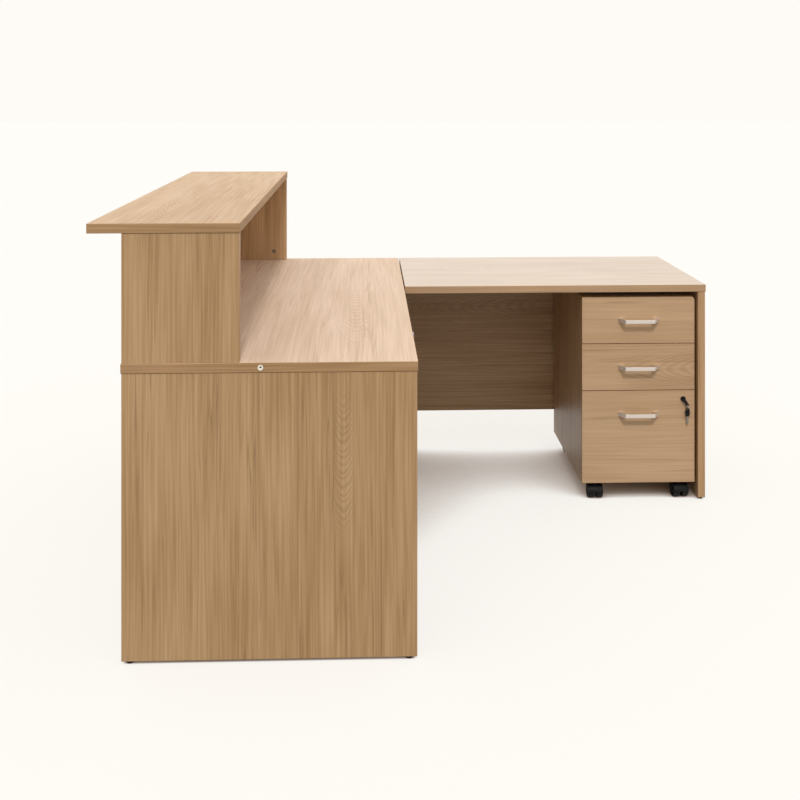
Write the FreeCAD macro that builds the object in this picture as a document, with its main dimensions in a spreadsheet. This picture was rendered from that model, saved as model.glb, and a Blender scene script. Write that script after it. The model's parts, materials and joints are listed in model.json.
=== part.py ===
import FreeCAD, Part
import math
import operator
import os
import types

import Sketcher

# An L-shaped reception desk: a main desk with a raised counter for visitors, a return
# at its far end, and a mobile pedestal of drawers under the return.
# Points are given from the visitors' edge (x), the near end (y) and the floor (z),
# in millimetres. The finished model stands with the middle of its floor area at the origin.

# Driving sizes
SIZES = {
    # Main desk
    "desk_length": 1600,
    "desk_depth": 750,
    "top_board": 25,
    "end_board": 25,
    "thin_board": 18,
    "board_arris": 1,
    "foot_height": 7,
    "panel_inset": 2,
    "visitor_panel_setback": 10,
    "visitor_panel_lift": 33,
    # Riser and counter
    "riser_depth": 300,
    "riser_height": 328,
    "counter_overhang": 85,
    # Return
    "link_gap": 4,
    "return_length": 1060,
    "modesty_height": 590,
    # Knock-down fittings
    "cam_radius": 7.5,
    "cam_setback": 34,
    "cam_past_middle": 4,
    "bolt_radius": 3,
    "bolt_grip": 11,
    "dowel_radius": 4,
    "dowel_length": 24,
    "bore_clearance": 0.1,
    "riser_fitting_margin": 50,
    "panel_fitting_margin": 85,
    # Levelling feet
    "glide_radius": 10,
    "glide_margin": 20,
    "glide_stem_radius": 4,
    "glide_stem_length": 18,
    "sleeve_radius": 6.5,
    "sleeve_length": 14,
    # Linking insert and link plates
    "insert_position": 351,
    "insert_flange_radius": 7.25,
    "insert_flange": 1.2,
    "insert_radius": 5,
    "insert_length": 15,
    "insert_thread_radius": 3,
    "link_plate_length": 120,
    "link_plate_width": 50,
    "link_plate_sheet": 3,
    "link_plate_margin": 90,
    "link_hole_inset": 20,
    "link_screw_radius": 2.2,
    "link_screw_grip": 13,
    "link_head_radius": 4.2,
    "link_head_height": 2.4,
    # Pedestal carcass and drawer fronts
    "pedestal_width": 400,
    "pedestal_depth": 550,
    "pedestal_height": 654,
    "pedestal_board": 18,
    "pedestal_side_gap": 9,
    "pedestal_rear_gap": 20,
    "pedestal_headroom": 20,
    "pedestal_setback": 13,
    "pedestal_fitting_margin": 80,
    "castor_height": 58,
    "front_board": 18,
    "front_gap": 2,
    "front_arris": 0.8,
    "drawer_gap": 2,
    "small_front_height": 163,
    "front_corner_round": 12,
    # Drawer trays and runners
    "tray_wall": 1.2,
    "tray_rear_gap": 34,
    "tray_lift": 24,
    "tray_hem": 7,
    "small_tray_height": 100,
    "file_tray_drop": 68,
    "runner_space": 13,
    "runner_sheet": 1.5,
    "runner_fit": 0.3,
    "runner_end_gap": 30,
    "runner_setback": 2,
    "small_runner_height": 35,
    "small_runner_rise": 22,
    "file_runner_height": 45,
    "file_runner_drop": 52,
    "rail_wall": 2,
    "rail_slot_fit": 0.15,
    "rail_skirt": 10,
    "rail_crown": 6,
    "rail_end_gap": 20,
    # Handles and their screws
    "handle_width": 146,
    "handle_bar_width": 104,
    "handle_projection": 29,
    "handle_height": 13,
    "handle_bar_thickness": 4,
    "handle_foot_width": 18,
    "handle_corner_round": 5,
    "handle_drop": 81.5,
    "screw_spacing": 128,
    "screw_radius": 2,
    "screw_reach": 8,
    "screw_head_radius": 4,
    "screw_head_height": 2.4,
    # Lock and keys
    "lock_from_side": 41,
    "lock_drop": 30,
    "lock_body_radius": 8,
    "lock_flange_radius": 9.5,
    "lock_flange": 2.5,
    "lock_tail": 10,
    "plug_radius": 5.5,
    "plug_clearance": 0.05,
    "plug_recess": 0.5,
    "plug_proud": 0.3,
    "lock_arm_half_width": 6.5,
    "lock_arm_tip_half_width": 4,
    "lock_arm_sheet": 2,
    "strike_lip": 8,
    "strike_sheet": 2,
    "strike_height": 30,
    "strike_depth": 22,
    "strike_clearance": 1,
    "key_standoff": 6.5,
    "key_head_thickness": 3.5,
    "key_head_half_width": 5.5,
    "key_head_top": 5,
    "key_head_end": 5,
    "key_reach": 23.5,
    "key_turn": 35,
    "key_hole_radius": 2,
    "key_blade_width": 7,
    "key_blade_sheet": 2.2,
    "key_blade_depth": 12,
    "key_slot_fit": 0.1,
    "ring_radius": 6.5,
    "ring_wire_radius": 0.8,
    "ring_sheet": 1.2,
    "ring_play": 0.5,
    "spare_head_half_width": 8,
    "spare_head_length": 32,
    "spare_neck_half_width": 4.5,
    "spare_blade_half_width": 4,
    "spare_blade_length": 28,
    # Castors
    "castor_side_margin": 50,
    "castor_end_margin": 45,
    "wheel_radius": 22,
    "wheel_width": 22,
    "wheel_dish": 3,
    "wheel_rim": 5,
    "wheel_side_gap": 0.5,
    "axle_radius": 3,
    "axle_clearance": 0.06,
    "castor_trail": 20,
    "hood_gap": 1.5,
    "hood_wall": 2.5,
    "hood_skirt": 2,
    "hood_web": 8,
    "neck_radius": 8,
    "neck_length": 14,
    "neck_fit": 0.3,
    "stem_radius": 4,
    "stem_length": 14,
    "stem_clearance": 0.05,
    "socket_radius": 7,
    "socket_length": 16,
    # Where the castors happened to point, in degrees about their stems
    "turn_front_left": -2,
    "turn_front_right": 6,
    "turn_back_left": 12,
    "turn_back_right": -18,
}

SIGNS = {"+": operator.add, "-": operator.sub, "*": operator.mul, "/": operator.truediv}


class Length:
    """A size worked out from the sheet: its value now, and the expression that keeps it true."""

    def __init__(self, value, text=None):
        self.value = float(value)
        self.text = text or repr(float(value))

    def __add__(self, other):
        return joined(self, "+", other)

    def __sub__(self, other):
        return joined(self, "-", other)

    def __mul__(self, other):
        return joined(self, "*", other)

    def __truediv__(self, other):
        return joined(self, "/", other)

    def __neg__(self):
        return joined(0, "-", self)


def as_length(thing):
    return thing if isinstance(thing, Length) else Length(thing)


def joined(left, sign, right):
    left = as_length(left)
    right = as_length(right)
    return Length(SIGNS[sign](left.value, right.value), f"({left.text} {sign} {right.text})")


doc = FreeCAD.newDocument("reception_desk")
sheet = doc.addObject("Spreadsheet::Sheet", "sizes")
for row, (alias, value) in enumerate(SIZES.items(), start=1):
    sheet.set(f"A{row}", alias)
    sheet.set(f"B{row}", str(value))
    sheet.setAlias(f"B{row}", alias)
doc.recompute()
s = types.SimpleNamespace(**{alias: Length(sheet.get(alias), "sizes." + alias) for alias in SIZES})

# Levels and faces that many pieces share. The return is as high and as deep as the pedestal needs.
top_under = s.castor_height + s.pedestal_height + s.pedestal_headroom
end_panel_height = top_under - s.foot_height
return_depth = s.pedestal_setback + s.pedestal_depth + s.pedestal_rear_gap + s.end_board + s.panel_inset
desk_height = top_under + s.top_board
riser_top = desk_height + s.riser_height
panel_depth = s.desk_depth - s.panel_inset * 2
near_inner = s.panel_inset + s.end_board
far_inner = s.desk_length - near_inner
return_left = s.desk_depth + s.link_gap
return_right = return_left + s.return_length
return_near = s.desk_length - return_depth
return_inner = return_right - s.panel_inset - s.end_board
centre_x = (return_right - s.counter_overhang) / 2
centre_y = s.desk_length / 2

# Helpers

X_AXIS = FreeCAD.Vector(1, 0, 0)
Y_AXIS = FreeCAD.Vector(0, 1, 0)
Z_AXIS = FreeCAD.Vector(0, 0, 1)
TURNS = {
    "+z": FreeCAD.Rotation(),
    "-z": FreeCAD.Rotation(X_AXIS, 180),
    "+x": FreeCAD.Rotation(Y_AXIS, 90),
    "-x": FreeCAD.Rotation(Y_AXIS, -90),
    "+y": FreeCAD.Rotation(X_AXIS, -90),
    "-y": FreeCAD.Rotation(X_AXIS, 90),
}
BACK = {"+x": "-x", "-x": "+x", "+y": "-y", "-y": "+y", "+z": "-z", "-z": "+z"}
PAST_FACE = 1
# Small pieces that repeat have flat sides, to keep the model light
CAM_SIDES = 8
BOLT_SIDES = 6
DOWEL_SIDES = 8
SLEEVE_SIDES = 12
ROUND_SIDES = 24
nodes = []


def bind(thing, **formulas):
    for name, length in formulas.items():
        thing.setExpression(name, as_length(length).text)


def place(thing, at, turn=None, centred=True):
    """Puts a thing at a point of the desk, or of its own frame where centred is False."""
    x, y, z = (as_length(value) for value in at)
    if centred:
        x = x - centre_x
        y = y - centre_y
    if turn is not None:
        thing.Placement = FreeCAD.Placement(FreeCAD.Vector(), turn)
    thing.setExpression("Placement.Base.x", x.text)
    thing.setExpression("Placement.Base.y", y.text)
    thing.setExpression("Placement.Base.z", z.text)
    return thing


def step(point, way, distance):
    """The point moved along one of the axes, such as "-z"."""
    axis = "xyz".index(way[1])
    moved = list(point)
    moved[axis] = as_length(moved[axis]) + (distance if way[0] == "+" else -as_length(distance))
    return tuple(moved)


def block(name, at, extent, centred=True):
    box = doc.addObject("Part::Box", name)
    bind(box, Length=extent[0], Width=extent[1], Height=extent[2])
    return place(box, at, centred=centred)


def rod(name, radius, at, way, length, centred=True, sides=None):
    """A bar from a point along one of the axes, round or with that many flat sides."""
    if sides is None:
        bar = doc.addObject("Part::Cylinder", name)
        bind(bar, Radius=radius, Height=length)
    else:
        bar = doc.addObject("Part::Prism", name)
        bar.Polygon = sides
        bind(bar, Circumradius=radius, Height=length)
    return place(bar, at, TURNS[way], centred)


def group(name, members):
    bundle = doc.addObject("Part::Compound", name)
    bundle.Links = members
    return bundle


def cut(name, base, tools):
    result = doc.addObject("Part::Cut", name)
    result.Base = base
    result.Tool = tools[0] if len(tools) == 1 else group(name + "_cutters", tools)
    return result


def fuse(name, members):
    result = doc.addObject("Part::MultiFuse", name)
    result.Shapes = members
    result.Refine = True
    return result


def node(label, thing):
    thing.Label = label
    nodes.append(thing)
    return thing


def edge_names(shape, wanted):
    return [f"Edge{i}" for i, edge in enumerate(shape.Edges, start=1) if wanted(edge)]


def upright(edge):
    """True for a straight edge that runs along z."""
    ends = [vertex.Point for vertex in edge.Vertexes]
    return len(ends) == 2 and abs((ends[1] - ends[0]).normalize().z) > 0.999


def sketch_on(body, plane, loops, lift=0):
    """Closed outlines on one of the body's planes. A loop is a list of corners, each held by its
    two distances from the origin, or one circle as (across, up, radius)."""
    sketch = body.newObject("Sketcher::SketchObject", body.Name + "_outline")
    support = next(f for f in body.Origin.OriginFeatures if f.Role == plane)
    sketch.AttachmentSupport = [(support, "")]
    sketch.MapMode = "FlatFace"
    sketch.setExpression("AttachmentOffset.Base.z", as_length(lift).text)

    def hold(kind, geometry, point, length):
        if length.value == 0:
            sketch.addConstraint(
                Sketcher.Constraint("PointOnObject", geometry, point, -2 if kind == "DistanceX" else -1)
            )
            return
        index = sketch.addConstraint(Sketcher.Constraint(kind, -1, 1, geometry, point, length.value))
        sketch.setExpression(f"Constraints[{index}]", length.text)

    for loop in loops:
        first = sketch.GeometryCount
        if isinstance(loop, tuple):
            across, up, radius = (as_length(value) for value in loop)
            middle = FreeCAD.Vector(across.value, up.value, 0)
            sketch.addGeometry(Part.Circle(middle, Z_AXIS, radius.value))
            hold("DistanceX", first, 3, across)
            hold("DistanceY", first, 3, up)
            index = sketch.addConstraint(Sketcher.Constraint("Radius", first, radius.value))
            sketch.setExpression(f"Constraints[{index}]", radius.text)
            continue
        corners = [(as_length(across), as_length(up)) for across, up in loop]
        points = [FreeCAD.Vector(across.value, up.value, 0) for across, up in corners]
        for start, end in zip(points, points[1:] + points[:1]):
            sketch.addGeometry(Part.LineSegment(start, end))
        for i in range(len(corners)):
            following = first + (i + 1) % len(corners)
            sketch.addConstraint(Sketcher.Constraint("Coincident", first + i, 2, following, 1))
        for i, (across, up) in enumerate(corners):
            hold("DistanceX", first + i, 1, across)
            hold("DistanceY", first + i, 1, up)
    return sketch


def pad(body, plane, loops, length, lift=0):
    """Pads outlines along +x, +y or +z of the body, whichever is square to the plane."""
    sketch = sketch_on(body, plane, loops, lift)
    feature = body.newObject("PartDesign::Pad", body.Name + "_pad")
    feature.Profile = sketch
    bind(feature, Length=length)
    feature.Reversed = plane == "XZ_Plane"
    return feature


def extruded(name, plane, loops, length, at, turn=None, centred=True):
    body = doc.addObject("PartDesign::Body", name)
    pad(body, plane, loops, length)
    return place(body, at, turn, centred)


def corner_radius(clear_radius, sides):
    """The radius over the corners of a hole whose flat sides leave that radius clear."""
    return clear_radius / math.cos(math.pi / sides)


def flanged_sleeve(name, mouth, way, flange, body, hole_radius, hole_sides=None):
    """A flange and the longer body behind it, each as (radius, length), drilled right through."""
    flange_radius, flange_length = flange
    body_radius, body_length = body
    whole = flange_length + body_length
    members = [
        rod(name + "_flange", flange_radius, mouth, way, flange_length, sides=ROUND_SIDES),
        rod(name + "_body", body_radius, mouth, way, whole, sides=SLEEVE_SIDES),
    ]
    start = step(mouth, BACK[way], PAST_FACE)
    hole = rod(name + "_hole", hole_radius, start, way, whole + PAST_FACE * 2, sides=hole_sides)
    return node(name, cut(name, fuse(name + "_blank", members), [hole]))


def rectangle(left, bottom, right, top):
    return [(left, bottom), (right, bottom), (right, top), (left, top)]


# Boards: a blank with its arrises taken off, then drilled for whatever meets it

blanks = {}
bores = {}


def board(name, at, extent, ease=s.board_arris):
    body = doc.addObject("PartDesign::Body", name + "_blank")
    box = body.newObject("PartDesign::AdditiveBox", name + "_box")
    bind(box, Length=extent[0], Width=extent[1], Height=extent[2])
    eased = body.newObject("PartDesign::Chamfer", name + "_eased")
    eased.Base = (box, [f"Edge{i}" for i in range(1, 13)])
    bind(eased, Size=ease)
    blanks[name] = place(body, at)
    bores[name] = []


def bore(name, radius, at, way, depth, sides=None):
    """Drills a board from a point on its face, starting a little outside the face."""
    mouth = step(at, BACK[way], PAST_FACE)
    label = f"{name}_bore_{len(bores[name])}"
    deep = as_length(depth) + PAST_FACE
    bores[name].append(rod(label, radius + s.bore_clearance, mouth, way, deep, sides=sides))


def drilled(name):
    return node(name, cut(name, blanks[name], bores[name]) if bores[name] else blanks[name])


tall_panel = (panel_depth, s.end_board, end_panel_height)
riser_panel = (s.riser_depth - s.panel_inset * 2, s.end_board, s.riser_height)
inner_length = far_inner - near_inner
visitor_face = s.panel_inset + s.visitor_panel_setback
visitor_foot = s.foot_height + s.visitor_panel_lift
modesty_foot = top_under - s.modesty_height

board("desk_top", (0, 0, top_under), (s.desk_depth, s.desk_length, s.top_board))
board("desk_end_panel_near", (s.panel_inset, s.panel_inset, s.foot_height), tall_panel)
board("desk_end_panel_far", (s.panel_inset, far_inner, s.foot_height), tall_panel)
board(
    "desk_visitor_panel",
    (visitor_face, near_inner, visitor_foot),
    (s.thin_board, inner_length, top_under - visitor_foot),
)
board("riser_end_panel_near", (s.panel_inset, s.panel_inset, desk_height), riser_panel)
board("riser_end_panel_far", (s.panel_inset, far_inner, desk_height), riser_panel)
board(
    "riser_visitor_panel",
    (visitor_face, near_inner, desk_height),
    (s.thin_board, inner_length, s.riser_height),
)
board(
    "counter_top",
    (-s.counter_overhang, 0, riser_top),
    (s.riser_depth + s.counter_overhang, s.desk_length, s.top_board),
)
board("return_top", (return_left, return_near, top_under), (s.return_length, return_depth, s.top_board))
board(
    "return_end_panel",
    (return_inner, return_near + s.panel_inset, s.foot_height),
    (s.end_board, return_depth - s.panel_inset * 2, end_panel_height),
)
board(
    "return_modesty_panel",
    (return_left, far_inner, modesty_foot),
    (return_inner - return_left, s.thin_board, s.modesty_height),
)

# Knock-down joints: a bolt stands in one board and a cam in the next one's face draws it in

cam_discs = []
cam_bolts = []
wood_dowels = []
pedestal_fittings = []


def cam_joint(panel, receiver, at, inward, face, thickness, discs=cam_discs, bolts=cam_bolts):
    """at lies on the joint, in the middle of the panel's edge. inward points into the panel, and
    face out of the side that the cam is let into."""
    label = f"{panel}_cam_{len(discs)}"
    mouth = step(step(at, inward, s.cam_setback), face, thickness / 2)
    depth = thickness / 2 + s.cam_past_middle
    discs.append(rod(label + "_disc", s.cam_radius, mouth, BACK[face], depth, sides=CAM_SIDES))
    bore(panel, s.cam_radius, mouth, BACK[face], depth + s.bore_clearance, CAM_SIDES)
    start = step(at, BACK[inward], s.bolt_grip)
    reach = s.bolt_grip + s.cam_setback - s.cam_radius - s.bore_clearance
    bolts.append(rod(label + "_bolt", s.bolt_radius, start, inward, reach, sides=BOLT_SIDES))
    bore(panel, s.bolt_radius, at, inward, s.cam_setback, BOLT_SIDES)
    bore(receiver, s.bolt_radius, at, BACK[inward], s.bolt_grip + s.bore_clearance, BOLT_SIDES)


def dowel_joint(panel, receiver, at, inward, dowels=wood_dowels):
    half = s.dowel_length / 2
    label = f"{panel}_dowel_{len(dowels)}"
    start = step(at, BACK[inward], half)
    dowels.append(rod(label, s.dowel_radius, start, inward, s.dowel_length, sides=DOWEL_SIDES))
    bore(panel, s.dowel_radius, at, inward, half + s.bore_clearance, DOWEL_SIDES)
    bore(receiver, s.dowel_radius, at, BACK[inward], half + s.bore_clearance, DOWEL_SIDES)


near_middle = s.panel_inset + s.end_board / 2
far_middle = s.desk_length - near_middle
visitor_middle = visitor_face + s.thin_board / 2
modesty_middle = far_inner + s.thin_board / 2
riser_staff_edge = s.riser_depth - s.panel_inset
ends = [("near", near_middle, near_inner, "+y"), ("far", far_middle, far_inner, "-y")]

for end, middle, inner, face in ends:
    panel = "desk_end_panel_" + end
    for x in (s.panel_inset + s.panel_fitting_margin, s.desk_depth - s.panel_inset - s.panel_fitting_margin):
        cam_joint(panel, "desk_top", (x, middle, top_under), "-z", face, s.end_board)
    dowel_joint(panel, "desk_top", (s.desk_depth / 2, middle, top_under), "-z")
    riser = "riser_end_panel_" + end
    for x in (s.panel_inset + s.riser_fitting_margin, riser_staff_edge - s.riser_fitting_margin):
        cam_joint(riser, "desk_top", (x, middle, desk_height), "+z", face, s.end_board)
        cam_joint(riser, "counter_top", (x, middle, riser_top), "-z", face, s.end_board)
    dowel_joint(riser, "desk_top", (s.riser_depth / 2, middle, desk_height), "+z")
    dowel_joint(riser, "counter_top", (s.riser_depth / 2, middle, riser_top), "-z")
    for z in (visitor_foot + s.panel_fitting_margin, top_under - s.panel_fitting_margin):
        cam_joint("desk_visitor_panel", panel, (visitor_middle, inner, z), face, "+x", s.thin_board)
    dowel_joint("desk_visitor_panel", panel, (visitor_middle, inner, (visitor_foot + top_under) / 2), face)
    for z in (desk_height + s.panel_fitting_margin, riser_top - s.panel_fitting_margin):
        cam_joint("riser_visitor_panel", riser, (visitor_middle, inner, z), face, "+x", s.thin_board)

return_middle = return_inner + s.end_board / 2
for y in (
    return_near + s.panel_inset + s.panel_fitting_margin,
    s.desk_length - s.panel_inset - s.panel_fitting_margin,
):
    cam_joint("return_end_panel", "return_top", (return_middle, y, top_under), "-z", "-x", s.end_board)
dowel_y = (return_near + s.desk_length) / 2
dowel_joint("return_end_panel", "return_top", (return_middle, dowel_y, top_under), "-z")
for z in (modesty_foot + s.panel_fitting_margin, top_under - s.panel_fitting_margin):
    at = (return_inner, modesty_middle, z)
    cam_joint("return_modesty_panel", "return_end_panel", at, "-x", "-y", s.thin_board)
for x in (return_left + s.panel_fitting_margin, return_inner - s.panel_fitting_margin):
    cam_joint("return_modesty_panel", "return_top", (x, modesty_middle, top_under), "-z", "-y", s.thin_board)

# Levelling feet under the uprights, in sleeves let into the bottom edges

glides = []
sleeves = []


def screw(name, head_radius, head_height, shank_radius, shank_length, at, way):
    """A head before a point and a shank from there along one of the axes."""
    back = BACK[way]
    head = rod(name + "_head", head_radius, step(at, back, head_height), way, head_height, sides=DOWEL_SIDES)
    start = step(at, back, head_height / 2)
    shank = rod(name + "_shank", shank_radius, start, way, shank_length + head_height / 2, sides=BOLT_SIDES)
    return fuse(name, [head, shank])


def levelling_foot(panel, x, y):
    foot = (x, y, s.foot_height)
    name = f"glide_{len(glides)}"
    stem = (s.glide_stem_radius, s.glide_stem_length)
    glides.append(screw(name, s.glide_radius, s.foot_height, *stem, foot, "+z"))
    wide = s.glide_stem_radius + s.bore_clearance
    hole = rod(name + "_hole", wide, foot, "+z", s.sleeve_length, sides=BOLT_SIDES)
    outside = rod(name + "_outside", s.sleeve_radius, foot, "+z", s.sleeve_length, sides=DOWEL_SIDES)
    sleeves.append(cut(name + "_sleeve", outside, [hole]))
    bore(panel, s.sleeve_radius, foot, "+z", s.sleeve_length + s.bore_clearance, DOWEL_SIDES)
    bore(panel, s.glide_stem_radius, foot, "+z", s.glide_stem_length + s.bore_clearance, BOLT_SIDES)


for end, middle, inner, face in ends:
    for x in (s.panel_inset + s.glide_margin, s.desk_depth - s.panel_inset - s.glide_margin):
        levelling_foot("desk_end_panel_" + end, x, middle)
for y in (return_near + s.panel_inset + s.glide_margin, s.desk_length - s.panel_inset - s.glide_margin):
    levelling_foot("return_end_panel", return_middle, y)

# Linking insert: a flanged threaded sleeve in the near edge of the desk top

insert_mouth = (s.insert_position, 0, top_under + s.top_board / 2)
insert_flange = (s.insert_flange_radius, s.insert_flange)
insert_body = (s.insert_radius, s.insert_length)
insert_depth = s.insert_flange + s.insert_length + s.bore_clearance
flanged_sleeve("linking_insert", insert_mouth, "+y", insert_flange, insert_body, s.insert_thread_radius)
bore("desk_top", s.insert_flange_radius, insert_mouth, "+y", s.insert_flange, ROUND_SIDES)
bore("desk_top", s.insert_radius, insert_mouth, "+y", insert_depth, SLEEVE_SIDES)

# Link plates under the two tops, and one across the far end panel and the modesty panel

link_plates = []
link_screws = []
link_x = (s.desk_depth + return_left) / 2
hole_across = s.link_plate_length / 2 - s.link_hole_inset


def link_plate(at, way, up, left_board, right_board):
    """A plate centred on a point, screwed along way into the board on either side of the link."""
    name = f"link_plate_{len(link_plates)}"
    corner = step(step(at, "-x", s.link_plate_length / 2), BACK[up], s.link_plate_width / 2)
    across = {"x": s.link_plate_length, up[1]: s.link_plate_width, way[1]: s.link_plate_sheet}
    holes = []
    for side, drilled_board in ((-1, left_board), (1, right_board)):
        head = step(at, "+x", hole_across * side)
        label = f"link_screw_{len(link_screws)}"
        shank = s.link_plate_sheet + s.link_screw_grip
        head_size = (s.link_head_radius, s.link_head_height)
        link_screws.append(screw(label, *head_size, s.link_screw_radius, shank, head, way))
        wide = s.link_screw_radius + s.bore_clearance
        start = step(head, BACK[way], PAST_FACE)
        through = s.link_plate_sheet + PAST_FACE * 2
        holes.append(rod(label + "_hole", wide, start, way, through, sides=BOLT_SIDES))
        mouth = step(head, way, s.link_plate_sheet)
        bore(drilled_board, s.link_screw_radius, mouth, way, s.link_screw_grip + s.bore_clearance, BOLT_SIDES)
    plate = block(name + "_blank", corner, [across[axis] for axis in "xyz"])
    link_plates.append(cut(name, plate, holes))


for y in (return_near + s.link_plate_margin, far_inner - s.link_plate_margin):
    link_plate((link_x, y, top_under - s.link_plate_sheet), "+z", "+y", "desk_top", "return_top")
link_plate(
    (link_x, far_inner - s.link_plate_sheet, modesty_foot + s.modesty_height / 2),
    "+y",
    "+z",
    "desk_end_panel_far",
    "return_modesty_panel",
)

# Pedestal carcass

ped_right = return_inner - s.pedestal_side_gap
ped_left = ped_right - s.pedestal_width
ped_middle = ped_right - s.pedestal_width / 2
ped_front = return_near + s.pedestal_setback
ped_back = ped_front + s.pedestal_depth
ped_bottom = s.castor_height
ped_top = s.castor_height + s.pedestal_height
front_back = ped_front + s.front_board
carcass_front = front_back + s.front_gap
carcass_depth = ped_back - carcass_front
inner_left = ped_left + s.pedestal_board
inner_right = ped_right - s.pedestal_board
inner_width = s.pedestal_width - s.pedestal_board * 2
side_extent = (s.pedestal_board, carcass_depth, s.pedestal_height)
shelf_extent = (inner_width, carcass_depth, s.pedestal_board)

board("pedestal_side_left", (ped_left, carcass_front, ped_bottom), side_extent)
board("pedestal_side_right", (inner_right, carcass_front, ped_bottom), side_extent)
board("pedestal_top", (inner_left, carcass_front, ped_top - s.pedestal_board), shelf_extent)
board("pedestal_bottom", (inner_left, carcass_front, ped_bottom), shelf_extent)
board(
    "pedestal_back",
    (inner_left, ped_back - s.pedestal_board, ped_bottom + s.pedestal_board),
    (inner_width, s.pedestal_board, s.pedestal_height - s.pedestal_board * 2),
)

flanks = [("pedestal_side_left", inner_left, "+x"), ("pedestal_side_right", inner_right, "-x")]
half_board = s.pedestal_board / 2
shelves = [("pedestal_top", ped_top - half_board), ("pedestal_bottom", ped_bottom + half_board)]
back_middle = ped_back - s.pedestal_board / 2
for side, x, inward in flanks:
    for shelf, z in shelves:
        for y in (carcass_front + s.pedestal_fitting_margin, ped_back - s.pedestal_fitting_margin):
            at = (x, y, z)
            cam_joint(shelf, side, at, inward, "-z", s.pedestal_board, pedestal_fittings, pedestal_fittings)
    for z in (ped_bottom + s.pedestal_height / 4, ped_top - s.pedestal_height / 4):
        dowel_joint("pedestal_back", side, (x, back_middle, z), inward, pedestal_fittings)

# Castor sockets in the pedestal's floor

castor_left = ped_left + s.castor_side_margin
castor_right = ped_right - s.castor_side_margin
castor_front = ped_front + s.castor_end_margin
castor_back = ped_back - s.castor_end_margin
castors = {
    "front_left": (castor_left, castor_front, s.turn_front_left),
    "front_right": (castor_right, castor_front, s.turn_front_right),
    "back_left": (castor_left, castor_back, s.turn_back_left),
    "back_right": (castor_right, castor_back, s.turn_back_right),
}
castor_sockets = []
stem_hole = corner_radius(s.stem_radius + s.stem_clearance, SLEEVE_SIDES)
for corner, (x, y, turn) in castors.items():
    seat = (x, y, ped_bottom)
    name = "castor_socket_" + corner
    hole = rod(name + "_hole", stem_hole, seat, "+z", s.socket_length, sides=SLEEVE_SIDES)
    outside = rod(name + "_outside", s.socket_radius, seat, "+z", s.socket_length, sides=DOWEL_SIDES)
    castor_sockets.append(cut(name, outside, [hole]))
    bore("pedestal_bottom", s.socket_radius, seat, "+z", s.socket_length + s.bore_clearance, DOWEL_SIDES)

# Drawer fronts, one over the other with even gaps between them

file_front_height = s.pedestal_height - (s.small_front_height + s.drawer_gap) * 2
middle_bottom = ped_bottom + file_front_height + s.drawer_gap
upper_bottom = middle_bottom + s.small_front_height + s.drawer_gap
file_tray_height = file_front_height - s.tray_lift - s.file_tray_drop


def drawer_front(name, bottom, height, rounded):
    """A front with eased edges. The upper one has its right top corner rounded."""
    outline = [rectangle(0, 0, s.pedestal_width, height)]
    at = (ped_left, ped_front, bottom)
    body = extruded(name + "_blank", "XZ_Plane", outline, s.front_board, at)
    doc.recompute()
    square = body.Tip
    if rounded:
        corner = FreeCAD.Vector(s.pedestal_width.value, s.front_board.value / 2, height.value)
        edges = edge_names(square.Shape, lambda edge: edge.CenterOfMass.distanceToPoint(corner) < 0.1)
        round_corner = body.newObject("PartDesign::Fillet", name + "_round")
        round_corner.Base = (square, edges)
        bind(round_corner, Radius=s.front_corner_round)
        doc.recompute()
        square = round_corner
    eased = body.newObject("PartDesign::Chamfer", name + "_eased")
    eased.Base = (square, edge_names(square.Shape, lambda edge: True))
    bind(eased, Size=s.front_arris)
    blanks[name] = body
    bores[name] = []


# Drawer trays, folded from sheet

tray_left = inner_left + s.runner_space
tray_width = inner_width - s.runner_space * 2
tray_depth = s.pedestal_depth - s.front_board - s.pedestal_board - s.tray_rear_gap
runner_length = tray_depth - s.runner_end_gap


def drawer_tray(name, bottom, height, hem):
    body = doc.addObject("PartDesign::Body", name + "_blank")
    wall = s.tray_wall
    outside = rectangle(0, 0, tray_width, tray_depth)
    pad(body, "XY_Plane", [outside], wall)
    pad(body, "XY_Plane", [outside, rectangle(wall, wall, tray_width - wall, tray_depth - wall)], height)
    if hem:
        inner_edge = wall + s.tray_hem
        rim_inside = rectangle(inner_edge, wall, tray_width - inner_edge, tray_depth - wall)
        pad(body, "XY_Plane", [outside, rim_inside], wall, height - wall)
    return place(body, (tray_left, front_back, bottom))


# Runners: channels that nest with a little play

deep = s.runner_sheet + s.runner_fit
flange_tip = s.runner_space - deep


def channel(side, web_back, web_face, tip, low, high):
    """The corners of a channel. side is 1 on the left of the pedestal and -1 on the right."""
    corners = [
        (web_back, low),
        (tip, low),
        (tip, low + s.runner_sheet),
        (web_face, low + s.runner_sheet),
        (web_face, high - s.runner_sheet),
        (tip, high - s.runner_sheet),
        (tip, high),
        (web_back, high),
    ]
    return [(as_length(across) * side, up) for across, up in corners]


def runner_member(name, kind, height, bottom, steps):
    """The left and right channels of one kind. steps counts the channels outside this one."""
    low = deep * steps
    pair = []
    for side, x in ((1, inner_left), (-1, inner_right)):
        if kind == "inner":
            web = (s.runner_space, s.runner_space - s.runner_sheet, low)
        else:
            web = (low, low + s.runner_sheet, flange_tip)
        profile = channel(side, *web, as_length(low), height - low)
        start = (x, carcass_front + s.runner_setback, bottom)
        side_name = "left" if side == 1 else "right"
        pair.append(extruded(f"{name}_{kind}_{side_name}", "XZ_Plane", [profile], runner_length, start))
    return pair


# Bow handles, held by screws from inside the drawers

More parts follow.
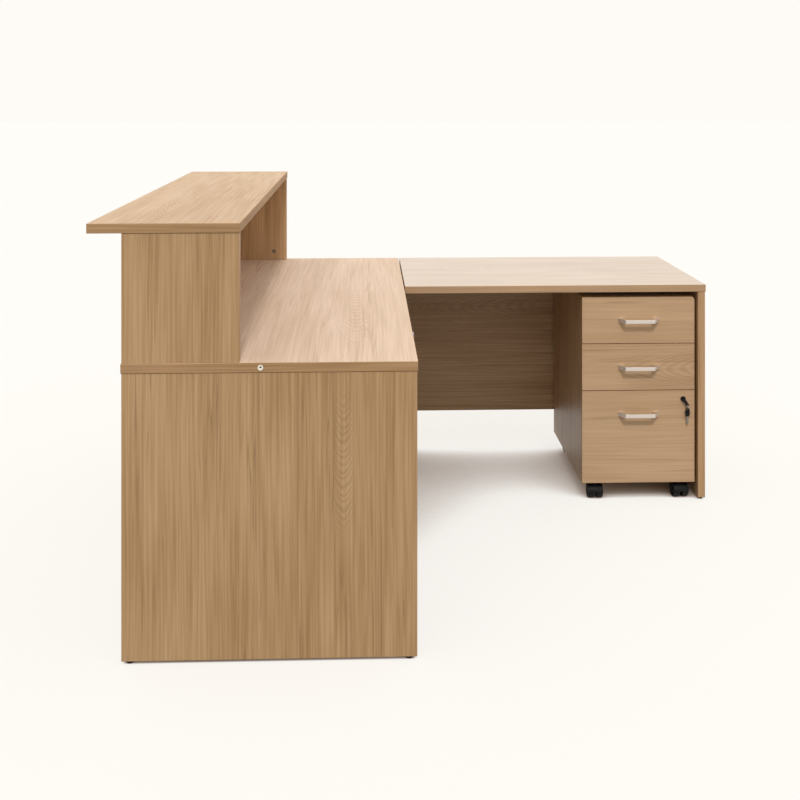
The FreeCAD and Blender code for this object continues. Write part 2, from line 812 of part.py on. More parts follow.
half_handle = s.handle_width / 2
half_bar = s.handle_bar_width / 2
half_inside = half_bar - s.handle_bar_thickness * 1.5
foot_inner = half_handle - s.handle_foot_width
bar_back = s.handle_bar_thickness - s.handle_projection
handle_outline = [
    (-half_handle, 0),
    (-half_bar, -s.handle_projection),
    (half_bar, -s.handle_projection),
    (half_handle, 0),
    (foot_inner, 0),
    (half_inside, bar_back),
    (-half_inside, bar_back),
    (-foot_inner, 0),
]
screw_shank = s.tray_wall + s.front_board + s.screw_reach


def drawer(name, bottom, height, tray_height, runner_height, runner_rise, rounded, hem):
    """Makes a drawer's front, tray, handle and screws, and the outer channels of its runners."""
    front = name + "_front"
    drawer_front(front, bottom, height, rounded)
    tray_bottom = bottom + s.tray_lift
    tray = drawer_tray(name + "_tray", tray_bottom, tray_height, hem)
    handle_z = bottom + height - s.handle_drop
    low_face = (ped_middle, ped_front, handle_z - s.handle_height / 2)
    handle = extruded(name + "_handle_blank", "XY_Plane", [handle_outline], s.handle_height, low_face)
    doc.recompute()
    square = handle.Tip
    bends = edge_names(
        square.Shape,
        lambda edge: upright(edge) and edge.CenterOfMass.y < -s.handle_projection.value / 2,
    )
    bent = handle.newObject("PartDesign::Fillet", name + "_handle_bends")
    bent.Base = (square, bends)
    bind(bent, Radius=s.handle_corner_round)
    handle_bores = []
    tray_bores = []
    screws = []
    for side in (-1, 1):
        x = ped_middle + s.screw_spacing / 2 * side
        label = f"{name}_screw_{'left' if side == -1 else 'right'}"
        wide = s.screw_radius + s.bore_clearance
        seat = (x, front_back + s.tray_wall, handle_z)
        screw_head = (s.screw_head_radius, s.screw_head_height)
        screws.append(screw(label, *screw_head, s.screw_radius, screw_shank, seat, "-y"))
        back = (x, front_back, handle_z)
        deep = s.front_board + s.screw_reach + s.bore_clearance
        handle_bores.append(rod(label + "_socket", wide, back, "-y", deep, sides=BOLT_SIDES))
        tray_hole = step(back, "+y", s.front_gap)
        tray_bores.append(rod(label + "_tray_hole", wide, tray_hole, "-y", s.front_gap * 2, sides=BOLT_SIDES))
        bore(front, s.screw_radius, back, "-y", s.front_board + PAST_FACE, BOLT_SIDES)
    runner_bottom = tray_bottom + runner_rise
    runner_outers.extend(runner_member(name + "_runner", "outer", runner_height, runner_bottom, 0))
    node(name + "_tray", cut(name + "_tray", tray, tray_bores))
    node(name + "_handle", cut(name + "_handle", handle, handle_bores))
    node(name + "_handle_screws", group(name + "_handle_screws", screws))
    inner_steps = 2 if name == "file" else 1
    inners = runner_member(name + "_runner", "inner", runner_height, runner_bottom, inner_steps)
    node(name + "_runner_inners", group(name + "_runner_inners", inners))
    return runner_bottom


runner_outers = []
small = (s.small_front_height, s.small_tray_height, s.small_runner_height, s.small_runner_rise)
drawer("upper", upper_bottom, *small, rounded=True, hem=True)
drawer("middle", middle_bottom, *small, rounded=False, hem=True)
file_runner_rise = file_tray_height - s.rail_skirt - s.file_runner_drop - s.file_runner_height
file_runner_bottom = drawer(
    "file",
    ped_bottom,
    file_front_height,
    file_tray_height,
    s.file_runner_height,
    file_runner_rise,
    rounded=False,
    hem=False,
)
middles = runner_member("file_runner", "middle", s.file_runner_height, file_runner_bottom, 1)
node("file_runner_middles", group("file_runner_middles", middles))

# Rails for hanging files, clipped over the file tray's sides

slot_inner = s.tray_wall + s.rail_slot_fit
rail_outline = [
    (-s.rail_slot_fit - s.rail_wall, -s.rail_skirt),
    (-s.rail_slot_fit, -s.rail_skirt),
    (-s.rail_slot_fit, 0),
    (slot_inner, 0),
    (slot_inner, -s.rail_skirt),
    (slot_inner + s.rail_wall, -s.rail_skirt),
    (slot_inner + s.rail_wall, s.rail_crown),
    (-s.rail_slot_fit - s.rail_wall, s.rail_crown),
]
rail_length = tray_depth - s.rail_end_gap * 2
file_rails = []
for side, x in ((1, tray_left), (-1, tray_left + tray_width)):
    corners = [(across * side, as_length(up)) for across, up in rail_outline]
    rail_start = (x, front_back + s.rail_end_gap, ped_bottom + s.tray_lift + file_tray_height)
    side_name = "left" if side == 1 else "right"
    file_rails.append(extruded(f"file_rail_{side_name}", "XZ_Plane", [corners], rail_length, rail_start))
node("file_rails", group("file_rails", file_rails))

# Lock: a plug turns in a housing and swings an arm behind the strike

lock_x = ped_right - s.lock_from_side
lock_z = ped_bottom + file_front_height - s.lock_drop
lock_at = (lock_x, ped_front, lock_z)
lock_mouth = step(lock_at, "-y", s.lock_flange)
housing_length = s.front_board + s.lock_tail
housing_flange = (s.lock_flange_radius, s.lock_flange)
housing_body = (s.lock_body_radius, housing_length)
plug_hole = corner_radius(s.plug_radius + s.plug_clearance, SLEEVE_SIDES)
flanged_sleeve("lock_housing", lock_mouth, "+y", housing_flange, housing_body, plug_hole, SLEEVE_SIDES)
bore("file_front", s.lock_body_radius, lock_at, "+y", s.front_board + PAST_FACE, SLEEVE_SIDES)

plug_face = ped_front - s.lock_flange + s.plug_recess
plug_end = ped_front + housing_length + s.plug_proud
plug_bar = rod("lock_plug_bar", s.plug_radius, (lock_x, plug_face, lock_z), "+y", plug_end - plug_face)
slot_width = s.key_blade_sheet + s.key_slot_fit * 2
slot_height = s.key_blade_width + s.key_slot_fit * 2
key_slot = block(
    "lock_plug_slot",
    (lock_x - slot_width / 2, plug_face - PAST_FACE, lock_z - slot_height / 2),
    (slot_width, s.key_blade_depth + s.key_slot_fit + PAST_FACE, slot_height),
)
node("lock_plug", cut("lock_plug", plug_bar, [key_slot]))

arm_length = inner_right - s.strike_sheet - s.strike_clearance - lock_x
arm_outline = [
    (-s.lock_arm_half_width, -s.lock_arm_half_width),
    (s.lock_arm_half_width, -s.lock_arm_half_width),
    (s.lock_arm_half_width, arm_length / 2),
    (s.lock_arm_tip_half_width, arm_length),
    (-s.lock_arm_tip_half_width, arm_length),
    (-s.lock_arm_half_width, arm_length / 2),
]
arm_at = (lock_x, plug_end, lock_z)
node("lock_cam", extruded("lock_cam", "XZ_Plane", [arm_outline], s.lock_arm_sheet, arm_at))

strike_outline = [
    (0, 0),
    (0, s.strike_depth),
    (-s.strike_sheet, s.strike_depth),
    (-s.strike_sheet, s.strike_sheet),
    (-s.strike_lip, s.strike_sheet),
    (-s.strike_lip, 0),
]
strike_at = (inner_right, plug_end - s.strike_clearance - s.strike_sheet, lock_z - s.strike_height / 2)
lock_strike = extruded("lock_strike", "XY_Plane", [strike_outline], s.strike_height, strike_at)

# Keys: one folded down in the lock, and a spare that hangs from its ring

sine = Length(math.sin(math.radians(s.key_turn.value)), "sin(sizes.key_turn)")
cosine = Length(math.cos(math.radians(s.key_turn.value)), "cos(sizes.key_turn)")


def swung(across, up):
    """A corner of the key's head, turned about the lock's axis from straight down to the right."""
    return (cosine * across - sine * up, sine * across + cosine * up)


key_end = s.key_reach + s.key_head_end
key_corners = [
    swung(-s.key_head_half_width, s.key_head_top),
    swung(s.key_head_half_width, s.key_head_top),
    swung(s.key_head_half_width, -s.key_reach),
    swung(s.key_head_half_width / 2, -key_end),
    swung(-s.key_head_half_width / 2, -key_end),
    swung(-s.key_head_half_width, -s.key_reach),
]
key_hole = (s.key_reach * sine, -(s.key_reach * cosine))
head_back = ped_front - s.key_standoff
head_front = head_back - s.key_head_thickness
head_middle = head_back - s.key_head_thickness / 2
key_loops = [key_corners, (*key_hole, s.key_hole_radius)]
head_at = (lock_x, head_front, lock_z)
key_head = extruded("lock_key_head", "XZ_Plane", key_loops, s.key_head_thickness, head_at)
key_blade = block(
    "lock_key_blade",
    (lock_x - s.key_blade_sheet / 2, head_middle, lock_z - s.key_blade_width / 2),
    (s.key_blade_sheet, plug_face + s.key_blade_depth - head_middle, s.key_blade_width),
)
node("lock_key", fuse("lock_key", [key_head, key_blade]))

hole_x = lock_x + key_hole[0]
hole_z = lock_z + key_hole[1]
wire_drop = s.key_hole_radius - s.ring_wire_radius - s.ring_play
ring_z = hole_z - wire_drop - s.ring_radius
ring_middle = (hole_x, head_middle, ring_z)
ring_side = step(ring_middle, "-x", s.ring_sheet / 2)
ring_mouth = step(ring_side, "-x", PAST_FACE)
ring_inside = s.ring_radius - s.ring_wire_radius
ring_outside = s.ring_radius + s.ring_wire_radius
ring_disc = rod("key_ring_disc", ring_outside, ring_side, "+x", s.ring_sheet, sides=ROUND_SIDES)
ring_eye = rod("key_ring_eye", ring_inside, ring_mouth, "+x", s.ring_sheet + PAST_FACE * 2, sides=ROUND_SIDES)
node("key_ring", cut("key_ring", ring_disc, [ring_eye]))

spare_hole_z = ring_z - s.ring_radius - wire_drop
spare_head_bottom = s.key_head_end - s.spare_head_length
spare_corners = [
    (-s.spare_head_half_width / 2, s.key_head_end),
    (s.spare_head_half_width / 2, s.key_head_end),
    (s.spare_head_half_width, 0),
    (s.spare_head_half_width, spare_head_bottom + s.spare_neck_half_width),
    (s.spare_neck_half_width, spare_head_bottom),
    (-s.spare_neck_half_width, spare_head_bottom),
    (-s.spare_head_half_width, spare_head_bottom + s.spare_neck_half_width),
    (-s.spare_head_half_width, 0),
]
spare_loops = [spare_corners, (0, 0, s.key_hole_radius)]
spare_at = (hole_x, head_front, spare_hole_z)
spare_head = extruded("spare_key_head", "XZ_Plane", spare_loops, s.key_head_thickness, spare_at)
spare_length = s.spare_blade_length + s.key_head_end
spare_blade = block(
    "spare_key_blade",
    (
        hole_x - s.spare_blade_half_width,
        head_middle - s.key_blade_sheet / 2,
        spare_hole_z + spare_head_bottom - s.spare_blade_length,
    ),
    (s.spare_blade_half_width * 2, s.key_blade_sheet, spare_length),
)
node("spare_key", fuse("spare_key", [spare_head, spare_blade]))

# Castors: each is modelled about its own stem, then turned to where it happened to point

axle_at = (0, -s.castor_trail, s.wheel_radius)
hood_radius = s.wheel_radius + s.hood_gap + s.hood_wall
half_web = s.hood_web / 2
wheel_face = half_web + s.wheel_side_gap
hood_half = wheel_face + s.wheel_width
neck_top = s.castor_height - s.neck_fit
neck_bottom = neck_top - s.neck_length
half_axle = hood_half - s.wheel_dish - s.wheel_side_gap * 2
rim_inner = s.wheel_radius - s.wheel_rim
axle_hole = corner_radius(s.axle_radius + s.axle_clearance, SLEEVE_SIDES)
wheel_room = corner_radius(s.wheel_radius + s.hood_gap, ROUND_SIDES)


def stand(thing, x, y, turn):
    return place(thing, (x, y, 0), FreeCAD.Rotation(Z_AXIS, turn.value))


def own_rod(name, radius, at, way, length, sides=None):
    return rod(name, radius, at, way, length, centred=False, sides=sides)


def wheel(name, way):
    """A wheel on one side of the web, dished on its outer face."""
    inner = step(axle_at, way, wheel_face)
    outer = step(inner, way, s.wheel_width)
    tyre = own_rod(name + "_tyre", s.wheel_radius, inner, way, s.wheel_width, ROUND_SIDES)
    mouth = step(outer, way, PAST_FACE)
    dish = own_rod(name + "_dish", rim_inner, mouth, BACK[way], s.wheel_dish + PAST_FACE, ROUND_SIDES)
    through = s.wheel_width + PAST_FACE * 2
    hole = own_rod(name + "_hole", axle_hole, mouth, BACK[way], through, SLEEVE_SIDES)
    return cut(name, tyre, [dish, hole])


def castor(corner, x, y, turn):
    name = "castor_" + corner
    shell = own_rod(name + "_shell", hood_radius, step(axle_at, "-x", hood_half), "+x", hood_half * 2)
    wide = s.wheel_width + s.wheel_side_gap + PAST_FACE
    beyond = hood_radius + PAST_FACE
    hollow = [
        own_rod(name + "_room_right", wheel_room, step(axle_at, "+x", half_web), "+x", wide, ROUND_SIDES),
        own_rod(name + "_room_left", wheel_room, step(axle_at, "-x", half_web), "-x", wide, ROUND_SIDES),
        block(
            name + "_below",
            (-hood_half - PAST_FACE, -s.castor_trail - beyond, s.wheel_radius - beyond),
            ((hood_half + PAST_FACE) * 2, beyond * 2, beyond + s.hood_skirt),
            centred=False,
        ),
    ]
    web_foot = s.wheel_radius - s.neck_radius
    web_depth = s.castor_trail + s.neck_radius * 2
    web_height = neck_bottom + s.neck_length / 2 - web_foot
    web_at = (-half_web, -s.castor_trail - s.neck_radius, web_foot)
    web = block(name + "_web", web_at, (s.hood_web, web_depth, web_height), centred=False)
    neck = own_rod(name + "_neck", s.neck_radius, (0, 0, neck_bottom), "+z", s.neck_length, SLEEVE_SIDES)
    stem_start = neck_top - s.neck_length / 2
    stem_reach = s.neck_length / 2 + s.stem_length
    stem = own_rod(name + "_stem", s.stem_radius, (0, 0, stem_start), "+z", stem_reach)
    axle_start = step(axle_at, "-x", half_axle)
    axle = own_rod(name + "_axle", s.axle_radius, axle_start, "+x", half_axle * 2, SLEEVE_SIDES)
    hood = fuse(name + "_hood", [cut(name + "_cover", shell, hollow), web, neck, stem, axle])
    node(name + "_hood", stand(hood, x, y, turn))
    wheels = [wheel(name + "_wheel_right", "+x"), wheel(name + "_wheel_left", "-x")]
    node(name + "_wheels", stand(group(name + "_wheels", wheels), x, y, turn))


for corner, (x, y, turn) in castors.items():
    castor(corner, x, y, turn)

# The boards with all their bores, and the groups of small pieces

for name in blanks:
    drilled(name)
node("lock_strike", lock_strike)
small_groups = {
    "cam_discs": cam_discs,
    "cam_bolts": cam_bolts,
    "wood_dowels": wood_dowels,
    "levelling_feet": glides,
    "foot_inserts": sleeves,
    "link_plates": link_plates,
    "link_screws": link_screws,
    "pedestal_fittings": pedestal_fittings,
    "runner_outers": runner_outers,
    "castor_sockets": castor_sockets,
}
for name, members in small_groups.items():
    node(name, group(name, members))

# Check every piece, then write one file each

doc.recompute()
for thing in doc.Objects:
    if "Invalid" in thing.State or "Error" in thing.State:
        raise RuntimeError(f"{thing.Label} is in error: {thing.State}")
os.makedirs("parts", exist_ok=True)
for thing in nodes:
    shape = thing.Shape
    if shape.isNull() or not shape.isValid() or not shape.Solids:
        raise RuntimeError(f"{thing.Label} has no sound shape")
    shape.exportStep(f"parts/{thing.Label}.step")
    print(f"{thing.Label}: {len(shape.Solids)} solid(s), {shape.Volume / 1000:.2f} cm3")
print(f"{len(nodes)} pieces written")
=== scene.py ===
# %% [markdown]
# # An L-shaped reception desk in oak-look laminate
# The real desk is a kit of laminated chipboard: a main desk with a raised visitors' counter, a return
# that meets it at a right angle, and a drawer pedestal on castors under the return. Its boards, fittings
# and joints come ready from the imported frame, in metres. This lesson never moves them. It gives every
# surface its finish, and models the small parts that a close look would miss.

# %% Load the frame
import json
import math

import bmesh
import bpy
from mathutils import Matrix, Quaternion, Vector

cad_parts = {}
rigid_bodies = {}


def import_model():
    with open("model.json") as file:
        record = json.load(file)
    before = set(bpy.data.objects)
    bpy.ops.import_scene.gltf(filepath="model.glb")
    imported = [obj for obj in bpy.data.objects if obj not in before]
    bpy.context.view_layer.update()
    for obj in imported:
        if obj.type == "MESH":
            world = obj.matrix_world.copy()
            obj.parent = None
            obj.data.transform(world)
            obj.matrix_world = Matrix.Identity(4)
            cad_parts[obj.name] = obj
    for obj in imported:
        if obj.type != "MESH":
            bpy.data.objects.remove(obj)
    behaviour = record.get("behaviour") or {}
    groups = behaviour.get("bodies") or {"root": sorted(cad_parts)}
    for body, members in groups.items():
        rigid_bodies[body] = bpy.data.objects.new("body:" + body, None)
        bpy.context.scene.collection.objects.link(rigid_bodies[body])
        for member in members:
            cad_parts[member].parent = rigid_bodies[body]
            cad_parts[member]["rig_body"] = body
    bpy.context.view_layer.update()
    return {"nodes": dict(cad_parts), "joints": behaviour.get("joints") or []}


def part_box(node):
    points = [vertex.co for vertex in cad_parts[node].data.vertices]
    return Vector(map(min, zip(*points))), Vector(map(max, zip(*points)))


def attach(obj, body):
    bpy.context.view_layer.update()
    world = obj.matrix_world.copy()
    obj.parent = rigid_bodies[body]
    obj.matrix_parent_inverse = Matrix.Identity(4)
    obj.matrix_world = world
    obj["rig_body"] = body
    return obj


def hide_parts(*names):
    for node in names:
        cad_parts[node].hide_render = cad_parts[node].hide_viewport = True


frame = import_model()
nodes = frame["nodes"]
MM = 0.001

# %% [markdown]
# ## Helpers for every finish
# Colours are written as sRGB hex, the way a paint chart gives them, and a shader wants them linear.
# Patterns are written in millimetres, and a texture wants repeats per metre. A shader is a graph, so one
# function adds a node: its settings are named, and each input is either linked or set.

# %% Colours, pattern sizes and shader nodes
# Noise swings about its middle and seldom leaves this span
NOISE_LOW = 0.3
NOISE_MIDDLE = 0.5
NOISE_HIGH = 0.7


def linear(hex_colour):
    channels = [int(hex_colour[i : i + 2], 16) / 255 for i in (1, 3, 5)]
    return [c / 12.92 if c <= 0.04045 else ((c + 0.055) / 1.055) ** 2.4 for c in channels] + [1.0]


def per(millimetres):
    return 1 / (millimetres * MM)


def add(tree, kind, inputs=None, **settings):
    made = tree.nodes.new("ShaderNode" + kind)
    for name, value in settings.items():
        setattr(made, name, value)
    for key, value in (inputs or {}).items():
        if isinstance(value, bpy.types.Node):
            value = value.outputs[0]
        if isinstance(value, bpy.types.NodeSocket):
            tree.links.new(value, made.inputs[key])
        else:
            made.inputs[key].default_value = value
    return made


def new_material(name):
    material = bpy.data.materials.new(name)
    material.use_nodes = True
    shader = material.node_tree.nodes["Principled BSDF"]
    return material, material.node_tree, shader


def dress(material, *names):
    for name in names:
        nodes[name].data.materials.clear()
        nodes[name].data.materials.append(material)


print(f"a mid grey, #808080, is {linear('#808080')[0]:.3f} in linear light")

# %% [markdown]
# ## Oak-look laminate
# The boards are chipboard faced with melamine paper: a photograph of oak under a clear satin resin, with
# edges banded in matching strip. A plain wave texture gives stripes that look like cloth. Here the figure
# is built up as the print shows it. Broad tone, mottling and fibres are noise stretched along the grain.
# Dark hairlines are the places where one more stretched noise passes its middle value, which gives long
# thin lines that open and close like real grain. A crown is the stack of nested arches over the heart of
# a trunk: lines of equal depth under a curved cut, so a sine of the depth draws them. The banding
# repeats the grain along each edge's own length, so the face that a point lies on decides which way its
# grain runs.

# %% Layers of the print
AXES = {"X": 0, "Y": 1, "Z": 2}
# Each layer's length along the grain, its width across it, and its finer octaves. Real fibres are finer
# than these, which are as wide as they need to be to show across a room
PRINT_LAYERS = {
    "drift": (1300, 260, 1.0),
    "mottle": (430, 52, 3.0),
    "fibre": (280, 5.5, 2.0),
    "line": (900, 18, 2.0),
    "gate": (520, 60, 1.0),
    "ripple": (90, 34, 2.0),
}
# How much each layer changes the tone
LAYER_WEIGHTS = {"drift": 0.9, "mottle": 1.2, "fibre": 1.9}
GRAIN_BEND = 26
BANDING_SHIFT = 137
# Hairlines lie this near the middle of their noise, and fade in as the gate noise rises over this span
HAIRLINE_WIDTH = 0.024
HAIRLINE_DARKNESS = 0.5
GATE_SPAN = (0.5, 0.66)
# A crown's half width, the rise of its arches, and their step along the grain
NARROW = (28, 45, 19)
BROAD = (75, 330, 46)
# Good and bad years space a crown's rings unevenly, and the cut ripples them
CROWN_WANDER = 2.9
CROWN_YEARS = 9.0
CROWN_RIPPLE = 6.0
CROWN_DARKNESS = 0.26
# Its lines start above this height of the wave, and fade over these shares of its width and length
CROWN_START = -0.3
FADE_ASIDE = (0.7, 1.4)
FADE_ALONG = (0.6, 1.0)


def print_layer(tree, layer, along, aside, seed):
    length, width, octaves = PRINT_LAYERS[layer]
    u = add(tree, "Math", {0: along, 1: per(length)}, operation="MULTIPLY")
    v = add(tree, "Math", {0: aside, 1: per(width)}, operation="MULTIPLY")
    at = add(tree, "CombineXYZ", {0: u, 1: v, 2: seed})
    return add(tree, "TexNoise", {"Vector": at, "Scale": 1.0, "Detail": octaves})


def crown_lines(tree, along, bent, layers, shape, heart, middle, half_length):
    """Nested arches that stand at a heart line, as a mask from 0 to 1."""
    half_width, rise, step = shape
    aside = add(tree, "Math", {0: bent, 1: heart * MM}, operation="SUBTRACT")
    square = add(tree, "Math", {0: aside, 1: aside}, operation="MULTIPLY")
    curve = -rise / (half_width**2 * MM)
    depth = add(tree, "Math", {0: square, 1: curve, 2: along}, operation="MULTIPLY_ADD")
    turn = add(tree, "Math", {0: depth, 1: math.tau * per(step)}, operation="MULTIPLY")
    years = add(tree, "Math", {0: depth, 1: per(step * CROWN_WANDER)}, operation="MULTIPLY")
    years = add(tree, "TexNoise", {"W": years, "Scale": 1.0, "Detail": 2.0}, noise_dimensions="1D")
    turn = add(tree, "Math", {0: years, 1: CROWN_YEARS, 2: turn}, operation="MULTIPLY_ADD")
    turn = add(tree, "Math", {0: layers["ripple"], 1: CROWN_RIPPLE, 2: turn}, operation="MULTIPLY_ADD")
    wave = add(tree, "Math", {0: turn}, operation="SINE")
    lines = add(tree, "MapRange", {0: wave, 1: CROWN_START, 2: 1.0, 3: 0.0, 4: CROWN_DARKNESS})
    beside = add(tree, "Math", {0: aside}, operation="ABSOLUTE")
    wide = [half_width * share * MM for share in FADE_ASIDE]
    near = add(tree, "MapRange", {0: beside, 1: wide[0], 2: wide[1], 3: 1.0, 4: 0.0})
    above = add(tree, "Math", {0: along, 1: middle * MM}, operation="SUBTRACT")
    above = add(tree, "Math", {0: above}, operation="ABSOLUTE")
    tall = [half_length * share * MM for share in FADE_ALONG]
    within = add(tree, "MapRange", {0: above, 1: tall[0], 2: tall[1], 3: 1.0, 4: 0.0})
    lines = add(tree, "Math", {0: lines, 1: near}, operation="MULTIPLY")
    return add(tree, "Math", {0: lines, 1: within}, operation="MULTIPLY")


print("print layers:", ", ".join(PRINT_LAYERS))

# %% The laminate
# Each sheet's pale tone, dark tone and hairlines
OAK_TONES = ("#CAA67B", "#A78155", "#755434")
BANDING_TONES = ("#C8A177", "#A47E55")
# Each press plate leaves its own skin: a low and a high roughness, and how much clear gloss lies on top
SKINS = {"satin": (0.38, 0.48, 0.0), "matt": (0.6, 0.7, 0.0), "polished": (0.38, 0.48, 1.0)}
GLOSS_ROUGHNESS = 0.25
RESIN_IOR = 1.5
PORE_STRENGTH = 0.1
PORE_DEPTH = 0.08
# A face looks along an axis where its normal leans that way by more than this
LEANS = 0.7


# Melamine resin over print: a satin skin that shows a broad pale sheen at a low angle
def oak_laminate(name, axes, seed, crown, tones=OAK_TONES, figure=1.0, skin="satin"):
    """Axes are the grain and the way across it. Crown is what crown_lines takes last, from its shape on."""
    material, tree, shader = new_material(name)
    grain, across = axes
    thick = "XYZ".replace(grain, "").replace(across, "")
    spot = add(tree, "TexCoord")
    place = add(tree, "SeparateXYZ", {0: spot.outputs["Object"]}).outputs
    facing = add(tree, "SeparateXYZ", {0: spot.outputs["Normal"]}).outputs
    end = add(tree, "Math", {0: facing[AXES[grain]]}, operation="ABSOLUTE")
    end = add(tree, "Math", {0: end, 1: LEANS}, operation="GREATER_THAN")
    side = add(tree, "Math", {0: facing[AXES[across]]}, operation="ABSOLUTE")
    side = add(tree, "Math", {0: side, 1: LEANS}, operation="GREATER_THAN")
    edge = add(tree, "Math", {0: end, 1: side}, operation="MAXIMUM")
    along = add(tree, "Mix", {0: end, 2: place[AXES[grain]], 3: place[AXES[across]]})
    aside = add(tree, "Mix", {0: edge, 2: place[AXES[across]], 3: place[AXES[thick]]})
    # The banding is another stretch of print than the face
    aside = add(tree, "Math", {0: edge, 1: BANDING_SHIFT * MM, 2: aside}, operation="MULTIPLY_ADD")

    drift = print_layer(tree, "drift", along, aside, seed)
    swing = add(tree, "Math", {0: drift, 1: NOISE_MIDDLE}, operation="SUBTRACT")
    bent = add(tree, "Math", {0: swing, 1: GRAIN_BEND * MM, 2: aside}, operation="MULTIPLY_ADD")
    layers = {"drift": drift}
    for layer in ("mottle", "fibre", "line", "gate", "ripple"):
        layers[layer] = print_layer(tree, layer, along, bent, seed)

    # The layers swing the tone about its middle
    tone = 0.5
    for layer, weight in LAYER_WEIGHTS.items():
        swing = add(tree, "Math", {0: layers[layer], 1: NOISE_MIDDLE}, operation="SUBTRACT")
        tone = add(tree, "Math", {0: swing, 1: weight * figure, 2: tone}, operation="MULTIPLY_ADD")

    # Hairlines show only where the gate noise lets them
    off_line = add(tree, "Math", {0: layers["line"], 1: NOISE_MIDDLE}, operation="SUBTRACT")
    off_line = add(tree, "Math", {0: off_line}, operation="ABSOLUTE")
    hair = add(tree, "MapRange", {0: off_line, 1: 0.0, 2: HAIRLINE_WIDTH, 3: 1.0, 4: 0.0})
    gate = {0: layers["gate"], 1: GATE_SPAN[0], 2: GATE_SPAN[1], 3: 0.0, 4: HAIRLINE_DARKNESS}
    shown = add(tree, "MapRange", gate)
    hair = add(tree, "Math", {0: hair, 1: shown}, operation="MULTIPLY")
    crown_mask = crown_lines(tree, along, bent, layers, *crown)
    hair = add(tree, "Math", {0: hair, 1: crown_mask}, operation="MAXIMUM")

    pale, dark, hairline = (linear(colour) for colour in tones)
    band_pale, band_dark = (linear(colour) for colour in BANDING_TONES)
    wood = add(tree, "Mix", {0: tone, 6: dark, 7: pale}, data_type="RGBA").outputs[2]
    band = add(tree, "Mix", {0: tone, 6: band_dark, 7: band_pale}, data_type="RGBA").outputs[2]
    wood = add(tree, "Mix", {0: edge, 6: wood, 7: band}, data_type="RGBA").outputs[2]
    wood = add(tree, "Mix", {0: hair, 6: wood, 7: hairline}, data_type="RGBA").outputs[2]
    tree.links.new(wood, shader.inputs["Base Color"])
    smooth, rough, gloss = SKINS[skin]
    fibres = {0: layers["fibre"], 1: NOISE_LOW, 2: NOISE_HIGH, 3: smooth, 4: rough}
    dull = add(tree, "MapRange", fibres)
    tree.links.new(dull.outputs[0], shader.inputs["Roughness"])
    pores = layers["fibre"].outputs[0]
    relief = add(tree, "Bump", {"Strength": PORE_STRENGTH, "Distance": PORE_DEPTH * MM, "Height": pores})
    tree.links.new(relief.outputs[0], shader.inputs["Normal"])
    shader.inputs["IOR"].default_value = RESIN_IOR
    shader.inputs["Coat Weight"].default_value = gloss
    shader.inputs["Coat Roughness"].default_value = GLOSS_ROUGHNESS
    return material


print(f"laminate from {OAK_TONES[1]} to {OAK_TONES[0]}, banding to {BANDING_TONES[0]}")

# %% [markdown]
# ## Boards from several sheets
# Each board was cut from a sheet of print, so each has its own stretch of grain and its own crowns. Tops
# run their grain along their length and uprights run it up. Some boards get paler tones than the plain oak:
# on the tops this is a painted sheen, and on boards that stand in shade it is painted light.
# A seed moves the noise, so no two sheets repeat each other. A crown is given by its shape, its heart
# line, its middle and half its length.

# %% Dress the main desk
# Painted sheen: the counter's tones are paler and less orange than the oak, standing in for the pale glint
# of a top seen at a low angle
COUNTER_PAINTED_SHEEN_TONES = ("#D7BB9D", "#B99875", "#98744F")
# Painted sheen: the desk top's tones are paler and less orange than the oak, standing in for the pale glint
# of a top seen at a low angle
DESK_TOP_PAINTED_SHEEN_TONES = ("#E2C8B2", "#CAAE92", "#AE8C6C")
# Painted light: the riser's far panel and the visitor panels get paler tones than the oak, to brighten
# faces that stand in shade in the riser
RISER_PAINTED_LIGHT_TONES = ("#D3B087", "#B18D62", "#876642")
desk_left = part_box("desk_top")[0].x / MM
counter_crown = (BROAD, desk_left + 90, -300, 520)
dress(oak_laminate("oak_counter", "YX", 2.0, counter_crown, COUNTER_PAINTED_SHEEN_TONES, 0.9, "matt"), "counter_top")
top_crown = (BROAD, desk_left + 590, -250, 430)
dress(oak_laminate("oak_desk_top", "YX", 3.4, top_crown, DESK_TOP_PAINTED_SHEEN_TONES, 0.9, "matt"), "desk_top")
near_crown = (NARROW, desk_left + 560, 500, 200)
uprights = ("desk_end_panel_near", "desk_end_panel_far", "riser_end_panel_near", "pedestal_back")
dress(oak_laminate("oak_end_panels", "ZX", 8.3, near_crown), *uprights)
riser_crown = (BROAD, desk_left + 60, 900, 150)
dress(oak_laminate("oak_riser_far", "ZX", 9.6, riser_crown, RISER_PAINTED_LIGHT_TONES), "riser_end_panel_far")
visitor_oak = oak_laminate("oak_visitor_panels", "YZ", 11.1, (BROAD, 420, 260, 480), RISER_PAINTED_LIGHT_TONES)
dress(visitor_oak, "desk_visitor_panel", "riser_visitor_panel")
print("main desk dressed in laminate")

# %% Dress the return and the pedestal
# Painted sheen: the return top's tones are paler and less orange than the oak, standing in for the whitish
# glint it shows at a low angle
RETURN_TOP_PAINTED_SHEEN_TONES = ("#D8BFA5", "#B69676", "#9A7856")
# Painted light: the return's end panel, modesty panel and pedestal sides get paler tones than the oak, to
# brighten boards that stand in shade under the return top
RETURN_PAINTED_LIGHT_TONES = ("#DCB78F", "#B58C60", "#805E3C")
